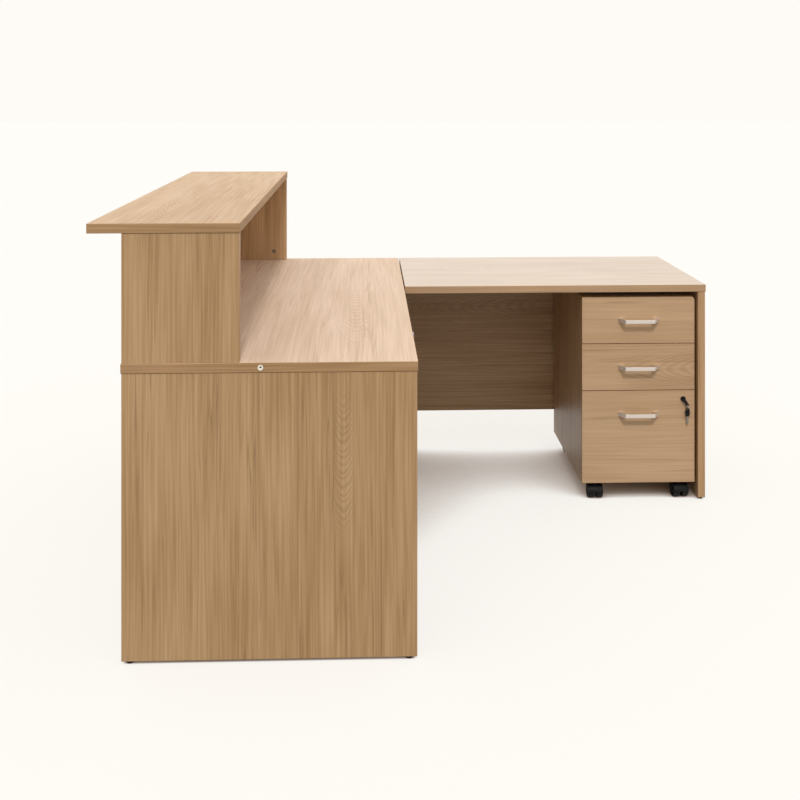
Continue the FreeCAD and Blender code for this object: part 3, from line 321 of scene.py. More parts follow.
# Painted light: the drawer fronts get paler tones than the oak, to brighten fronts that stand in shade
# under the return top
DRAWER_PAINTED_LIGHT_TONES = ("#D6B38D", "#BA9570", "#8F6B47")
drawer_crown = (BROAD, 455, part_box("file_front")[0].x / MM + 330, 190)
return_crown = (BROAD, 560, 300, 400)
return_oak = oak_laminate("oak_return_top", "XY", 5.5, return_crown, RETURN_TOP_PAINTED_SHEEN_TONES, 0.8, "polished")
dress(return_oak, "return_top", "pedestal_top", "pedestal_bottom")
pedestal_sides = ("pedestal_side_left", "pedestal_side_right")
return_end_oak = oak_laminate("oak_return_end", "ZY", 14.2, (BROAD, 480, 380, 300), RETURN_PAINTED_LIGHT_TONES)
dress(return_end_oak, "return_end_panel", *pedestal_sides)
modesty_oak = oak_laminate("oak_modesty", "XZ", 17.7, (BROAD, 560, 200, 300), RETURN_PAINTED_LIGHT_TONES)
dress(modesty_oak, "return_modesty_panel")
DRAWERS = ("upper", "middle", "file")
drawer_oak = oak_laminate("oak_drawer_fronts", "XZ", 20.4, drawer_crown, DRAWER_PAINTED_LIGHT_TONES, 0.65)
dress(drawer_oak, *(f"{drawer}_front" for drawer in DRAWERS))
print("return and pedestal dressed in laminate")

# %% [markdown]
# ## Metals
# The handles are die-cast zinc with satin nickel plate, brushed along their length. The cams are bare
# castings, and the screws, plates, runners and sleeves are bright zinc over steel. All are metals, so
# their colour sits in the reflection. Uneven roughness, drawn coarser than the real grit so that it
# shows, keeps them from looking like mirrors.

# %% Metals
def plated_metal(name, colour, rough, grit, stretch=1.0):
    """Rough is a low and a high value. Grit is the size of the patches, longer along x by the stretch."""
    material, tree, shader = new_material(name)
    spot = add(tree, "TexCoord")
    size = (per(grit * stretch), per(grit), per(grit))
    at = add(tree, "VectorMath", {0: spot.outputs["Object"], 1: size}, operation="MULTIPLY")
    patches = add(tree, "TexNoise", {"Vector": at, "Scale": 1.0, "Detail": 3.0})
    dull = add(tree, "MapRange", {0: patches, 1: NOISE_LOW, 2: NOISE_HIGH, 3: rough[0], 4: rough[1]})
    tree.links.new(dull.outputs[0], shader.inputs["Roughness"])
    shader.inputs["Base Color"].default_value = linear(colour)
    shader.inputs["Metallic"].default_value = 1.0
    return material


# Nickel plate, brushed lengthways: pale, a little warm, with a soft broad glint
satin_nickel = plated_metal("satin_nickel", "#D8CFC6", (0.5, 0.62), 1.0, 30)
# Zinc plate on steel: cool and bright, with cloudy patches
bright_zinc = plated_metal("bright_zinc", "#C4C6C8", (0.25, 0.42), 4)
# Passivated zinc on a turned sleeve: nearly white in even light
pale_zinc = plated_metal("pale_zinc", "#E9E4DA", (0.35, 0.5), 2)
# Zinc as it left the die: dull and grey
cast_zinc = plated_metal("cast_zinc", "#8F8880", (0.5, 0.65), 1.5)
# Worn key steel: grey, no longer bright
key_steel = plated_metal("key_steel", "#8B8278", (0.35, 0.5), 3)
dress(satin_nickel, *(f"{drawer}_handle" for drawer in DRAWERS))
zinc_pieces = ["link_plates", "link_screws", "foot_inserts", "lock_strike", "lock_cam", "castor_sockets"]
zinc_pieces += ["runner_outers", "file_runner_middles", "cam_bolts", "key_ring"]
zinc_pieces += [f"{drawer}_{part}" for drawer in DRAWERS for part in ("runner_inners", "handle_screws")]
dress(bright_zinc, *zinc_pieces)
dress(cast_zinc, "cam_discs", "pedestal_fittings")
dress(pale_zinc, "linking_insert")
print(f"{len(zinc_pieces)} nodes in bright zinc, the handles in nickel, the cams cast")

# %% [markdown]
# ## Plastics, enamel and beech
# Castors, glides, file rails and the keys' heads are black nylon or polypropylene, moulded with a fine
# spark grain. The drawer trays are folded steel in smooth grey enamel. The dowels are beech.

# %% Plastics, enamel and beech
# The depth of a moulded grain, and how far it shifts the roughness either way
GRAIN_DEPTH = 0.05
GRAIN_SHIFT = 0.05
NYLON_SHINE = 0.2


def moulded(name, colour, rough, grain_size, relief):
    material, tree, shader = new_material(name)
    spot = add(tree, "TexCoord")
    place = spot.outputs["Object"]
    skin = add(tree, "TexNoise", {"Vector": place, "Scale": per(grain_size), "Detail": 2.0})
    bump = add(tree, "Bump", {"Strength": relief, "Distance": GRAIN_DEPTH * MM, "Height": skin.outputs[0]})
    tree.links.new(bump.outputs[0], shader.inputs["Normal"])
    wear = {0: skin, 1: NOISE_LOW, 2: NOISE_HIGH, 3: rough - GRAIN_SHIFT, 4: rough + GRAIN_SHIFT}
    worn = add(tree, "MapRange", wear)
    tree.links.new(worn.outputs[0], shader.inputs["Roughness"])
    shader.inputs["Base Color"].default_value = linear(colour)
    return material


# Spark-eroded nylon: deep black that only shows a grey bloom on rounded edges
black_nylon = moulded("black_nylon", "#060605", 0.55, 0.8, 0.25)
nylon_shader = black_nylon.node_tree.nodes["Principled BSDF"]
nylon_shader.inputs["Specular IOR Level"].default_value = NYLON_SHINE
# Lacquered brass of the lock: black with a tight glint
black_lacquer = moulded("black_lacquer", "#0E0E0D", 0.32, 2.0, 0.05)
# Baked enamel on sheet steel: even grey with a faint orange-peel skin
grey_enamel = moulded("grey_enamel", "#9EA1A2", 0.4, 1.6, 0.12)
# Turned beech: pale and dry
beech = moulded("beech_dowel", "#C9A67A", 0.6, 1.2, 0.2)
CASTOR_CORNERS = ("front_left", "front_right", "back_left", "back_right")
castors = [f"castor_{corner}_{part}" for corner in CASTOR_CORNERS for part in ("hood", "wheels")]
dress(black_nylon, "levelling_feet", "file_rails", "lock_key", "spare_key", *castors)
dress(black_lacquer, "lock_housing", "lock_plug")
dress(grey_enamel, *(f"{drawer}_tray" for drawer in DRAWERS))
dress(beech, "wood_dowels")
print("plastics, enamel and beech ready")

# %% [markdown]
# ## Helpers for the small pieces
# A imported node is a plain solid that suits simulation. Where a close look needs more, a new piece stands
# for the node. Two readings of a node help: its loose parts, and the box of each. A new piece then rides
# on the body that its node belongs to, and wears the materials it is given.

# %% Read a node, add a piece
# Corners nearer than this are one, in a imported node and in a new piece
SAME_CORNER = 0.005
WELD = 0.001
# Faces that meet at a smaller angle are shaded as one curve
CREASE = 35


def loose_parts(name):
    """The points of each separate solid of a node, in a steady order."""
    solid = bmesh.new()
    solid.from_mesh(nodes[name].data)
    bmesh.ops.remove_doubles(solid, verts=solid.verts, dist=SAME_CORNER * MM)
    waiting = set(solid.verts)
    parts = []
    while waiting:
        found = [waiting.pop()]
        for vert in found:
            joined = {edge.other_vert(vert) for edge in vert.link_edges} & waiting
            waiting -= joined
            found.extend(joined)
        parts.append(sorted(tuple(round(value, 7) for value in vert.co) for vert in found))
    solid.free()
    return sorted(parts)


def box_of(points):
    low = Vector(min(point[i] for point in points) for i in range(3))
    high = Vector(max(point[i] for point in points) for i in range(3))
    return low, high


def add_piece(name, form, materials, stands_for, sharp=CREASE):
    """A finished form as a piece that rides where its nodes ride."""
    bmesh.ops.remove_doubles(form, verts=form.verts, dist=WELD * MM)
    bmesh.ops.recalc_face_normals(form, faces=form.faces)
    mesh = bpy.data.meshes.new(name)
    form.to_mesh(mesh)
    form.free()
    for material in materials:
        mesh.materials.append(material)
    mesh.shade_smooth()
    mesh.set_sharp_from_angle(angle=math.radians(sharp))
    piece = bpy.data.objects.new(name, mesh)
    bpy.context.scene.collection.objects.link(piece)
    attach(piece, nodes[stands_for]["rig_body"])
    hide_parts(stands_for)


print("helpers for pieces ready")

# %% [markdown]
# ## Soft edges
# Folded steel, die castings and mouldings have no sharp corners: a bend has a radius, and a mould is
# eased so that the piece comes out. A bright line along a handle's edge is that radius catching the
# light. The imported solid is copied, its flat triangles are joined into whole faces, and its sharp edges
# are bevelled. The boards need none of this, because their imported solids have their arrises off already.

# %% Bevelled copies
FLAT_ANGLE = 0.5
CORNER_ANGLE = 35
EASED_CREASE = 30
ROUND_PROFILE = 0.5
# The width of each bevel, and its steps
HANDLE_EASE = (1.4, 4)
TRAY_EASE = (0.4, 2)
HOOD_EASE = (0.9, 3)
RAIL_EASE = (0.6, 2)
PLATE_EASE = (0.5, 2)


def eased(node, ease, material):
    width, steps = ease
    form = bmesh.new()
    form.from_mesh(nodes[node].data)
    bmesh.ops.remove_doubles(form, verts=form.verts, dist=SAME_CORNER * MM)
    flat = math.radians(FLAT_ANGLE)
    bmesh.ops.dissolve_limit(form, angle_limit=flat, verts=form.verts, edges=form.edges)
    closed = [edge for edge in form.edges if edge.is_manifold]
    corners = [edge for edge in closed if edge.calc_face_angle() > math.radians(CORNER_ANGLE)]
    bmesh.ops.bevel(
        form,
        geom=corners,
        offset=width * MM,
        segments=steps,
        profile=ROUND_PROFILE,
        affect="EDGES",
        clamp_overlap=True,
    )
    add_piece(node + "_eased", form, [material], node, sharp=EASED_CREASE)


for drawer in DRAWERS:
    eased(f"{drawer}_handle", HANDLE_EASE, satin_nickel)
    eased(f"{drawer}_tray", TRAY_EASE, grey_enamel)
for corner in CASTOR_CORNERS:
    eased(f"castor_{corner}_hood", HOOD_EASE, black_nylon)
eased("file_rails", RAIL_EASE, black_nylon)
eased("link_plates", PLATE_EASE, bright_zinc)
print("edges eased on handles, trays, hoods, rails and plates")

# %% [markdown]
# ## A lathe and a driver recess
# Most small hardware is turned, so a lathe in mesh code spins half an outline about an axis. Softened
# corners give it the highlights of a real turned piece. A frame says where it stands: its own z axis
# points out of the face that carries it. A driver recess is cut once, on a template, with a boolean, and
# the template is then copied to every place.

# %% Lathe, frame and template
# A rounded corner takes a little less than half of the side that it starts on
SIDE_SHARE = 0.49


def soften(corners, steps=5):
    """Rounds an outline's corners. Each is (x, y, radius) in millimetres, and radius 0 stays sharp."""
    soft = []
    for i, (x, y, radius) in enumerate(corners):
        corner = Vector((x, y))
        if radius == 0:
            soft.append(corner)
            continue
        before = Vector(corners[i - 1][:2]) - corner
        after = Vector(corners[(i + 1) % len(corners)][:2]) - corner
        start = corner + before.normalized() * min(radius, before.length * SIDE_SHARE)
        finish = corner + after.normalized() * min(radius, after.length * SIDE_SHARE)
        for j in range(steps + 1):
            t = j / steps
            soft.append(start * (1 - t) ** 2 + corner * (2 * t * (1 - t)) + finish * t**2)
    return soft


def lathe(form, profile, place, segments=40):
    """Spins a profile of (radius, height) in millimetres about the z axis of a frame."""
    rings = []
    for radius, height in profile:
        ring = []
        for i in range(segments if radius > 0 else 1):
            turn = math.tau * i / segments
            spot = Vector((radius * math.cos(turn), radius * math.sin(turn), height)) * MM
            ring.append(form.verts.new(place @ spot))
        rings.append(ring)
    for low, high in zip(rings, rings[1:]):
        for i in range(segments):
            j = (i + 1) % segments
            corners = [low[i % len(low)], low[j % len(low)], high[j % len(high)], high[i % len(high)]]
            form.faces.new(list(dict.fromkeys(corners)))


def standing(at, out, roll=0.0):
    """A frame at a point, with its z axis along out."""
    return Matrix.LocRotScale(at, out.to_track_quat("Z", "Y") @ Quaternion((0, 0, 1), roll), None)


def shown_alone(name, form):
    mesh = bpy.data.meshes.new(name)
    bmesh.ops.recalc_face_normals(form, faces=form.faces)
    form.to_mesh(mesh)
    form.free()
    part = bpy.data.objects.new(name, mesh)
    bpy.context.scene.collection.objects.link(part)
    return part


def with_cross(blank, width, length, depth, top):
    """A template mesh: the blank with a driver cross sunk into its top, all in millimetres."""
    parts = [shown_alone("blank", blank)]
    for across, down in ((length, width), (width, length)):
        blade = bmesh.new()
        size = Matrix.Diagonal((across * MM, down * MM, depth * 2 * MM, 1))
        bmesh.ops.create_cube(blade, size=1, matrix=Matrix.Translation((0, 0, top * MM)) @ size)
        parts.append(shown_alone("blade", blade))
        cut = parts[0].modifiers.new("cross", "BOOLEAN")
        cut.object = parts[-1]
        cut.operation = "DIFFERENCE"
    cut_blank = parts[0].evaluated_get(bpy.context.evaluated_depsgraph_get())
    template = bpy.data.meshes.new_from_object(cut_blank)
    for part in parts:
        bpy.data.objects.remove(part)
    return template


def stamp(form, template, place):
    """Copies a template into a form, set down in a frame."""
    copied = template.copy()
    copied.transform(place)
    form.from_mesh(copied)
    bpy.data.meshes.remove(copied)


print("lathe ready")

# %% [markdown]
# ## Cam fittings
# A knock-down desk is drawn together by cams: a zinc disc dropped in a bore grips the head of a bolt when
# a screwdriver turns it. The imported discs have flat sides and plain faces. These stand for them, turned
# round, with a driver cross and a thin lip over the rim of the bore. A disc shows on the side where its
# end lies in a board's face, and that is how each finds which way it looks.

# %% Cams
CAM_LIP = 0.25
CAM_COVER = 0.5
CAM_NECK = 0.9
CAM_SEGMENTS = 36
# Each disc was left at another angle
CAM_TURN = 0.7
# A fitting's end lies in a board's face if it is this near
FLUSH = 0.3
CROSS_WIDTH, CROSS_LENGTH, CROSS_DEPTH = 1.8, 9.0, 2.2
BOARDS = [name for name in nodes if name.endswith(("_panel", "_near", "_far", "_top", "_bottom"))]


def long_axis(low, high):
    """The axis whose length differs from the other two."""
    size = high - low
    middle = sorted(size)[1]
    return max(range(3), key=lambda i: abs(size[i] - middle))


def open_end(low, high, axis):
    """The end of a fitting that lies in a board's face: its point, and the way it looks out."""
    middle = (low + high) / 2
    for way, level in ((-1, low[axis]), (1, high[axis])):
        for name in BOARDS:
            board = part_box(name)
            face = board[0][axis] if way < 0 else board[1][axis]
            inside = all(board[0][i] < middle[i] < board[1][i] for i in range(3) if i != axis)
            if inside and abs(face - level) < FLUSH * MM:
                at = middle.copy()
                at[axis] = level
                return at, Vector([way if i == axis else 0 for i in range(3)])
    raise ValueError("no board face at this fitting")


cam_parts = loose_parts("cam_discs")
low, high = box_of(cam_parts[0])
cam_radius = sorted(high - low)[1] / 2 / MM
thinnest = min((high - low)[long_axis(low, high)] for low, high in map(box_of, cam_parts)) / MM
neck = cam_radius * CAM_NECK
lip = cam_radius + CAM_COVER
cam_corners = [(0, -thinnest, 0), (neck, -thinnest, 0), (neck, 0, 0), (lip, 0, 0)]
cam_corners += [(lip, CAM_LIP, 0.2), (0, CAM_LIP, 0)]
blank = bmesh.new()
lathe(blank, soften(cam_corners), Matrix.Identity(4), CAM_SEGMENTS)
cam_template = with_cross(blank, CROSS_WIDTH, CROSS_LENGTH, CROSS_DEPTH, CAM_LIP)
cams = bmesh.new()
for number, part in enumerate(cam_parts):
    low, high = box_of(part)
    at, out = open_end(low, high, long_axis(low, high))
    stamp(cams, cam_template, standing(at, out, number * CAM_TURN))
add_piece("cam_faces", cams, [cast_zinc], "cam_discs")
print(f"{len(cam_parts)} cams of {cam_radius * 2:.0f} mm")

# %% [markdown]
# ## Levelling feet and the linking insert
# Under each upright, a nylon glide on a threaded stem takes up an uneven floor. The near edge of the main
# top holds a flanged insert, pale with zinc plate, for bolting on another desk. Both are turned pieces,
# and the insert's thread shows as fine ridges in its bore.

# %% Feet
GLIDE_HEIGHT = 7
GLIDE_STEM = 3.6
# The sole and the top, as shares of the widest radius, and the heights where the side is widest
GLIDE_SOLE = 0.86
GLIDE_TOP = 0.8
GLIDE_FLARE = 2.2
GLIDE_SHOULDER = 5
GLIDE_SEGMENTS = 32
feet = bmesh.new()
foot_parts = loose_parts("levelling_feet")
for part in foot_parts:
    low, high = box_of(part)
    wide = (high.x - low.x) / 2 / MM
    tall = (high.z - low.z) / MM
    corners = [(0, 0, 0), (wide * GLIDE_SOLE, 0, 1), (wide, GLIDE_FLARE, 1.5), (wide, GLIDE_SHOULDER, 1.2)]
    corners += [(wide * GLIDE_TOP, GLIDE_HEIGHT, 0.4), (GLIDE_STEM, GLIDE_HEIGHT, 0)]
    corners += [(GLIDE_STEM, tall, 0), (0, tall, 0)]
    foot_at = Vector(((low.x + high.x) / 2, (low.y + high.y) / 2, low.z))
    lathe(feet, soften(corners), standing(foot_at, Vector((0, 0, 1))), GLIDE_SEGMENTS)
add_piece("glides", feet, [black_nylon], "levelling_feet")
print(f"{len(foot_parts)} glides")

# %% Linking insert
THREAD_PITCH = 1.25
THREAD_DEPTH = 0.5
THREAD_START = 1.2
THREAD_RUNOUT = 2
INSERT_BORE = 3.0
INSERT_BODY = 4.8
INSERT_FLANGE = 1.2
INSERT_RIM = 0.6
INSERT_MOUTH = 1
low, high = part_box("linking_insert")
flange = (high.x - low.x) / 2 / MM
length = (high.y - low.y) / MM
profile = [(INSERT_BODY, -length), (INSERT_BODY, -INSERT_FLANGE), (flange, -INSERT_FLANGE)]
rim = [(flange, -INSERT_RIM, 0), (flange, 0, 0.5)]
rim += [(INSERT_BORE + INSERT_MOUTH, 0, 0.3), (INSERT_BORE, -INSERT_MOUTH, 0)]
profile += soften(rim)
for turn in range(int((length - THREAD_RUNOUT) / THREAD_PITCH)):
    depth = -THREAD_START - turn * THREAD_PITCH
    profile += [(INSERT_BORE, depth), (INSERT_BORE - THREAD_DEPTH, depth - THREAD_PITCH / 2)]
profile += [(INSERT_BORE, -length), (INSERT_BODY, -length)]
insert = bmesh.new()
insert_at = Vector(((low.x + high.x) / 2, low.y, (low.z + high.z) / 2))
lathe(insert, profile, standing(insert_at, Vector((0, -1, 0))))
add_piece("threaded_insert", insert, [pale_zinc], "linking_insert")
print(f"insert of {flange * 2:.1f} mm")

# %% [markdown]
# ## Screws
# Pan-head screws hold the handles from inside the drawers, and the plates that tie the return on. The
# packed screw says all that is needed: its long axis, which end has the head, and both radii.

# %% Screws
# A pan head's wall and the round above it, as shares of its height, then its flat and the round beside it,
# as shares of its radius
HEAD_WALL = 0.35
HEAD_ROUND = 0.4
HEAD_FLAT = 0.6
HEAD_FLAT_ROUND = 0.3
# The driver cross, as shares of the head's radius, radius and height
RECESS_WIDTH = 0.28
RECESS_LENGTH = 1.2
RECESS_DEPTH = 0.6
SCREW_SEGMENTS = 28
# Each screw was left at another angle
SCREW_TURN = 0.9


def turned_screws(name, node):
    form = bmesh.new()
    parts = loose_parts(node)
    for number, part in enumerate(parts):
        low, high = box_of(part)
        middle = (low + high) / 2
        axis = long_axis(low, high)
        aside = (axis + 1) % 3
        # How far the screw reaches from its axis, at each level along it
        reach = {}
        for point in part:
            level = round(point[axis], 5)
            reach[level] = max(reach.get(level, 0), point[aside] - middle[aside])
        levels = sorted(reach)
        way = 1 if levels[-1] - levels[1] < levels[1] - levels[0] else -1
        top = levels[-1] if way > 0 else levels[0]
        radius = max(reach.values()) / MM
        shank = min(reach.values()) / MM
        height = abs(levels[1] - top) / MM
        length = (levels[-1] - levels[0]) / MM
        dome = [(radius, -height, 0), (radius, -height * HEAD_WALL, height * HEAD_ROUND)]
        dome += [(radius * HEAD_FLAT, 0, radius * HEAD_FLAT_ROUND), (0, 0, 0)]
        blank = bmesh.new()
        body = [(0, -length), (shank, -length), (shank, -height)]
        lathe(blank, body + soften(dome), Matrix.Identity(4), SCREW_SEGMENTS)
        recess = (radius * RECESS_WIDTH, radius * RECESS_LENGTH, height * RECESS_DEPTH)
        template = with_cross(blank, *recess, 0)
        head_at = middle.copy()
        head_at[axis] = top
        out = Vector([way if i == axis else 0 for i in range(3)])
        stamp(form, template, standing(head_at, out, number * SCREW_TURN))
    add_piece(name, form, [bright_zinc], node)
    return len(parts)


count = turned_screws("plate_screws", "link_screws")
for drawer in DRAWERS:
    count += turned_screws(f"{drawer}_pull_screws", f"{drawer}_handle_screws")
print(f"{count} screws")

# %% [markdown]
# ## Castor wheels
# Each castor has two nylon wheels on one axle. The tread rolls over into the side with a wide soft
# shoulder, and the side is dished round a hub cap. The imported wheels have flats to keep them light, so
# turned ones stand for them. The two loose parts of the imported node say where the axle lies.

# %% Castor wheels
WHEEL_INSET = 4.5
WHEEL_BORE = 3.1
WHEEL_SEGMENTS = 48
# How far the tread rolls over into the side, at the inner and the outer face
INNER_ROUND = 3
SHOULDER_ROUND = 7
# The dish starts and ends this far inside the tread
DISH_START = 5.5
DISH_END = 7.5
DISH_DEPTH = 3
HUB_RADIUS = 8
CAP_RADIUS = 7.2
CAP_RIM_DEPTH = 1.4
CAP_DEPTH = 1
for corner in CASTOR_CORNERS:
    node = f"castor_{corner}_wheels"
    (low_a, high_a), (low_b, high_b) = (box_of(part) for part in loose_parts(node))
    centre_a = (low_a + high_a) / 2
    centre_b = (low_b + high_b) / 2
    axle = (centre_b - centre_a).normalized()
    radius = (high_a.z - low_a.z) / 2 / MM
    width = (centre_b - centre_a).length / MM - WHEEL_INSET * 2
    corners = [(WHEEL_BORE, 0, 0), (radius, 0, INNER_ROUND), (radius, width, SHOULDER_ROUND)]
    corners += [(radius - DISH_START, width, 1), (radius - DISH_END, width - DISH_DEPTH, 1)]
    corners += [(HUB_RADIUS, width - DISH_DEPTH, 0.6), (CAP_RADIUS, width - CAP_RIM_DEPTH, 0.8)]
    corners += [(0, width - CAP_DEPTH, 0)]
    wheels = bmesh.new()
    for way in (-1, 1):
        face_at = (centre_a + centre_b) / 2 + axle * way * WHEEL_INSET * MM
        lathe(wheels, soften(corners), standing(face_at, axle * way), WHEEL_SEGMENTS)
    add_piece(f"castor_{corner}_turned", wheels, [black_nylon], node)
print(f"a pair of wheels of {radius * 2:.0f} mm on each of {len(CASTOR_CORNERS)} castors")

# %% [markdown]
# ## Lock
# A cam lock sits in the file drawer's corner. Its black rosette is turned, with a rounded rim and a bore
# for the plug. The joint of the record that turns the lock says where its axis lies.

# %% Lock rosette
ROSETTE_BORE = 5.6
ROSETTE_BODY = 7.7
ROSETTE_ROUND = 1.8
MOUTH_LIP = 0.6
MOUTH_DEPTH = 1
joint_at = {joint["name"]: Vector(joint["pos_m"]) for joint in frame["joints"] if "pos_m" in joint}
lock_axis = joint_at["lock_turn"]
low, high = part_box("lock_housing")
rim = (high.x - low.x) / 2 / MM
proud = (lock_axis.y - low.y) / MM
behind = (high.y - lock_axis.y) / MM
corners = [(ROSETTE_BORE, -behind, 0), (ROSETTE_BODY, -behind, 0), (ROSETTE_BODY, 0, 0), (rim, 0, 0)]
corners += [(rim, proud, ROSETTE_ROUND), (ROSETTE_BORE + MOUTH_LIP, proud, 0.4)]
corners += [(ROSETTE_BORE, proud - MOUTH_DEPTH, 0)]
rosette = bmesh.new()
lathe(rosette, soften(corners + corners[:1]), standing(lock_axis, Vector((0, -1, 0))))
add_piece("lock_rosette", rosette, [black_lacquer], "lock_housing")
print(f"rosette of {rim * 2:.0f} mm")

# %% [markdown]
# ## Keys and split ring
# One key stands in the lock with its plastic head folded down, and a spare hangs from it on a split ring.
# Heads and blades are flat outlines with holes, so a filled 2D curve with a small bevel gives their soft
# edges and their holes at once. The joint that the keys hang from says where the ring passes.

# %% Flat plates and blades
def flat_plate(name, outlines, thickness, bevel):
    """A plate in its own x and y, from closed outlines in millimetres. Later outlines are holes."""
    curve = bpy.data.curves.new(name, "CURVE")
    curve.dimensions = "2D"
    curve.fill_mode = "BOTH"
    curve.extrude = (thickness / 2 - bevel) * MM
    curve.bevel_depth = bevel * MM
    curve.bevel_resolution = 2
    curve.offset = -bevel * MM
    for outline in outlines:
        spline = curve.splines.new("POLY")
        spline.points.add(len(outline) - 1)
        for point, (x, y) in zip(spline.points, outline):
            point.co = (x * MM, y * MM, 0, 1)
        spline.use_cyclic_u = True
    holder = bpy.data.objects.new(name, curve)
    bpy.context.scene.collection.objects.link(holder)
    mesh = bpy.data.meshes.new_from_object(holder.evaluated_get(bpy.context.evaluated_depsgraph_get()))
    bpy.data.objects.remove(holder)
    return mesh


def eye(y, radius, count=24):
    """A round hole on the key's middle line."""
    turns = [i * math.tau / count for i in range(count)]
    return [(radius * math.sin(turn), y + radius * math.cos(turn)) for turn in turns]


def key_place(at, up, face):
    """A frame whose y axis points up the key and whose z axis points out of its flat face."""
    aside = up.cross(face)
    return Matrix.Translation(at) @ Matrix((aside, up, face)).transposed().to_4x4()


def key_form(plastic, steel):
    """A form of plastic plates in material 0 and steel plates in material 1, each a mesh and a frame."""
    form = bmesh.new()
    for index, plates in enumerate((plastic, steel)):
        for mesh, place in plates:
            done = len(form.faces)
            stamp(form, mesh, place)
            form.faces.ensure_lookup_table()
            for face in form.faces[done:]:
                face.material_index = index
    return form


FRONT = Vector((0, -1, 0))
EYE_RADIUS = 2.0
BLADE_THICKNESS = 2.0
BLADE_BEVEL = 0.2
print("plates ready")

# %% Folded key
FOLDED_BEVEL = 0.7
# The head's half widths at its top, waist, eye and end, and the heights of top, waist and end
TOP_HALF, WAIST_HALF, EYE_HALF, END_HALF = 5.4, 4.6, 5.2, 2.8
KEY_HEAD_TOP = 4.9
WAIST_DROP = 9
END_DROP = 4.8
BLADE_HALF = 3.4
key_hole = joint_at["keys_hang"]
low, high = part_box("lock_key")
head_thickness = (key_hole.y - low.y) * 2 / MM
axis_at = Vector((lock_axis.x, key_hole.y, lock_axis.z))
reach = (key_hole - axis_at).length / MM
head_corners = [(-TOP_HALF, KEY_HEAD_TOP, 4), (TOP_HALF, KEY_HEAD_TOP, 4), (WAIST_HALF, -WAIST_DROP, 6)]
head_corners += [(EYE_HALF, -reach, 5), (END_HALF, -reach - END_DROP, 3)]
head_corners += [(-END_HALF, -reach - END_DROP, 3), (-EYE_HALF, -reach, 5)]
head_corners += [(-WAIST_HALF, -WAIST_DROP, 6)]
head_outlines = [soften(head_corners), eye(-reach, EYE_RADIUS)]
head = flat_plate("folded_head", head_outlines, head_thickness, FOLDED_BEVEL)
blade_length = (high.y - key_hole.y) / MM
blade_corners = [(-BLADE_HALF, 0, 0), (BLADE_HALF, 0, 0)]
blade_corners += [(BLADE_HALF, blade_length, 0.8), (-BLADE_HALF, blade_length, 0.8)]
blade = flat_plate("lock_blade", [soften(blade_corners)], BLADE_THICKNESS, BLADE_BEVEL)
head_place = key_place(axis_at, (axis_at - key_hole).normalized(), FRONT)
blade_place = key_place(axis_at, -FRONT, Vector((1, 0, 0)))
folded = key_form([(head, head_place)], [(blade, blade_place)])
add_piece("folded_key", folded, [black_nylon, key_steel], "lock_key")
print(f"folded key, its eye {reach:.1f} mm from the lock's axis")

# %% Spare key
SPARE_EYE_DROP = 5
SPARE_HEAD_LENGTH = 22
SPARE_BEVEL = 0.8
# The head's half widths at its top, body and collar, and the levels of body and collar below the eye
SPARE_TOP_HALF, SPARE_HALF, COLLAR_HALF = 3.6, 7.9, 4.3
BODY_START, BODY_END, COLLAR_DROP = 4, 19, 26.9
SPARE_BLADE_HALF = 3.9
low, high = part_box("spare_key")
hang_at = Vector((key_hole.x, key_hole.y, high.z - SPARE_EYE_DROP * MM))
tip = (hang_at.z - low.z) / MM
head_corners = [(-SPARE_TOP_HALF, KEY_HEAD_TOP, 3), (SPARE_TOP_HALF, KEY_HEAD_TOP, 3)]
head_corners += [(SPARE_HALF, -BODY_START, 6), (SPARE_HALF, -BODY_END, 7), (COLLAR_HALF, -COLLAR_DROP, 3)]
head_corners += [(-COLLAR_HALF, -COLLAR_DROP, 3), (-SPARE_HALF, -BODY_END, 7)]
head_corners += [(-SPARE_HALF, -BODY_START, 6)]
head = flat_plate("spare_head", [soften(head_corners), eye(0, EYE_RADIUS)], head_thickness, SPARE_BEVEL)
# The bitted edge, as its distance from the middle line and its height above the tip
bits = [(SPARE_BLADE_HALF, 22), (2.7, 19), (3.6, 16), (2.3, 13), (3.4, 9), (2.5, 6), (2.2, 2), (0.6, 0)]
bits += [(-SPARE_BLADE_HALF, 3)]
blade_outline = [(-SPARE_BLADE_HALF, -SPARE_HEAD_LENGTH), (SPARE_BLADE_HALF, -SPARE_HEAD_LENGTH)]
blade_outline += [(x, y - tip) for x, y in bits]
blade = flat_plate("spare_blade", [blade_outline], BLADE_THICKNESS, BLADE_BEVEL)
spare_place = key_place(hang_at, Vector((0, 0, 1)), FRONT)
spare = key_form([(head, spare_place)], [(blade, spare_place)])
add_piece("spare_key_hung", spare, [black_nylon, key_steel], "spare_key")
print(f"spare key, {tip:.0f} mm from its eye to its tip")

# %% Split ring
RING_WIDTH = 1.5
WIRE_ROUND = 0.2
GROOVE_HALF = 0.1
GROOVE_DEPTH = 0.25
RING_SEGMENTS = 48
low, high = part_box("key_ring")
outer = (high.z - low.z) / 2 / MM
half = (high.x - low.x) / 2 / MM
inner = outer - RING_WIDTH
# Two turns of wire lie together, so a fine groove runs round both the outside and the inside
section = [(inner, -half, WIRE_ROUND), (outer, -half, WIRE_ROUND)]
section += [(outer, -GROOVE_HALF, GROOVE_HALF), (outer - GROOVE_DEPTH, 0, 0)]
section += [(outer, GROOVE_HALF, GROOVE_HALF), (outer, half, WIRE_ROUND), (inner, half, WIRE_ROUND)]
section += [(inner, GROOVE_HALF, GROOVE_HALF), (inner + GROOVE_DEPTH, 0, 0)]
section += [(inner, -GROOVE_HALF, GROOVE_HALF)]
ring = bmesh.new()
wire = soften(section, 3)
lathe(ring, wire + wire[:1], standing((low + high) / 2, Vector((1, 0, 0))), RING_SEGMENTS)
add_piece("split_ring", ring, [bright_zinc], "key_ring")
print(f"split ring of {outer * 2:.1f} mm")

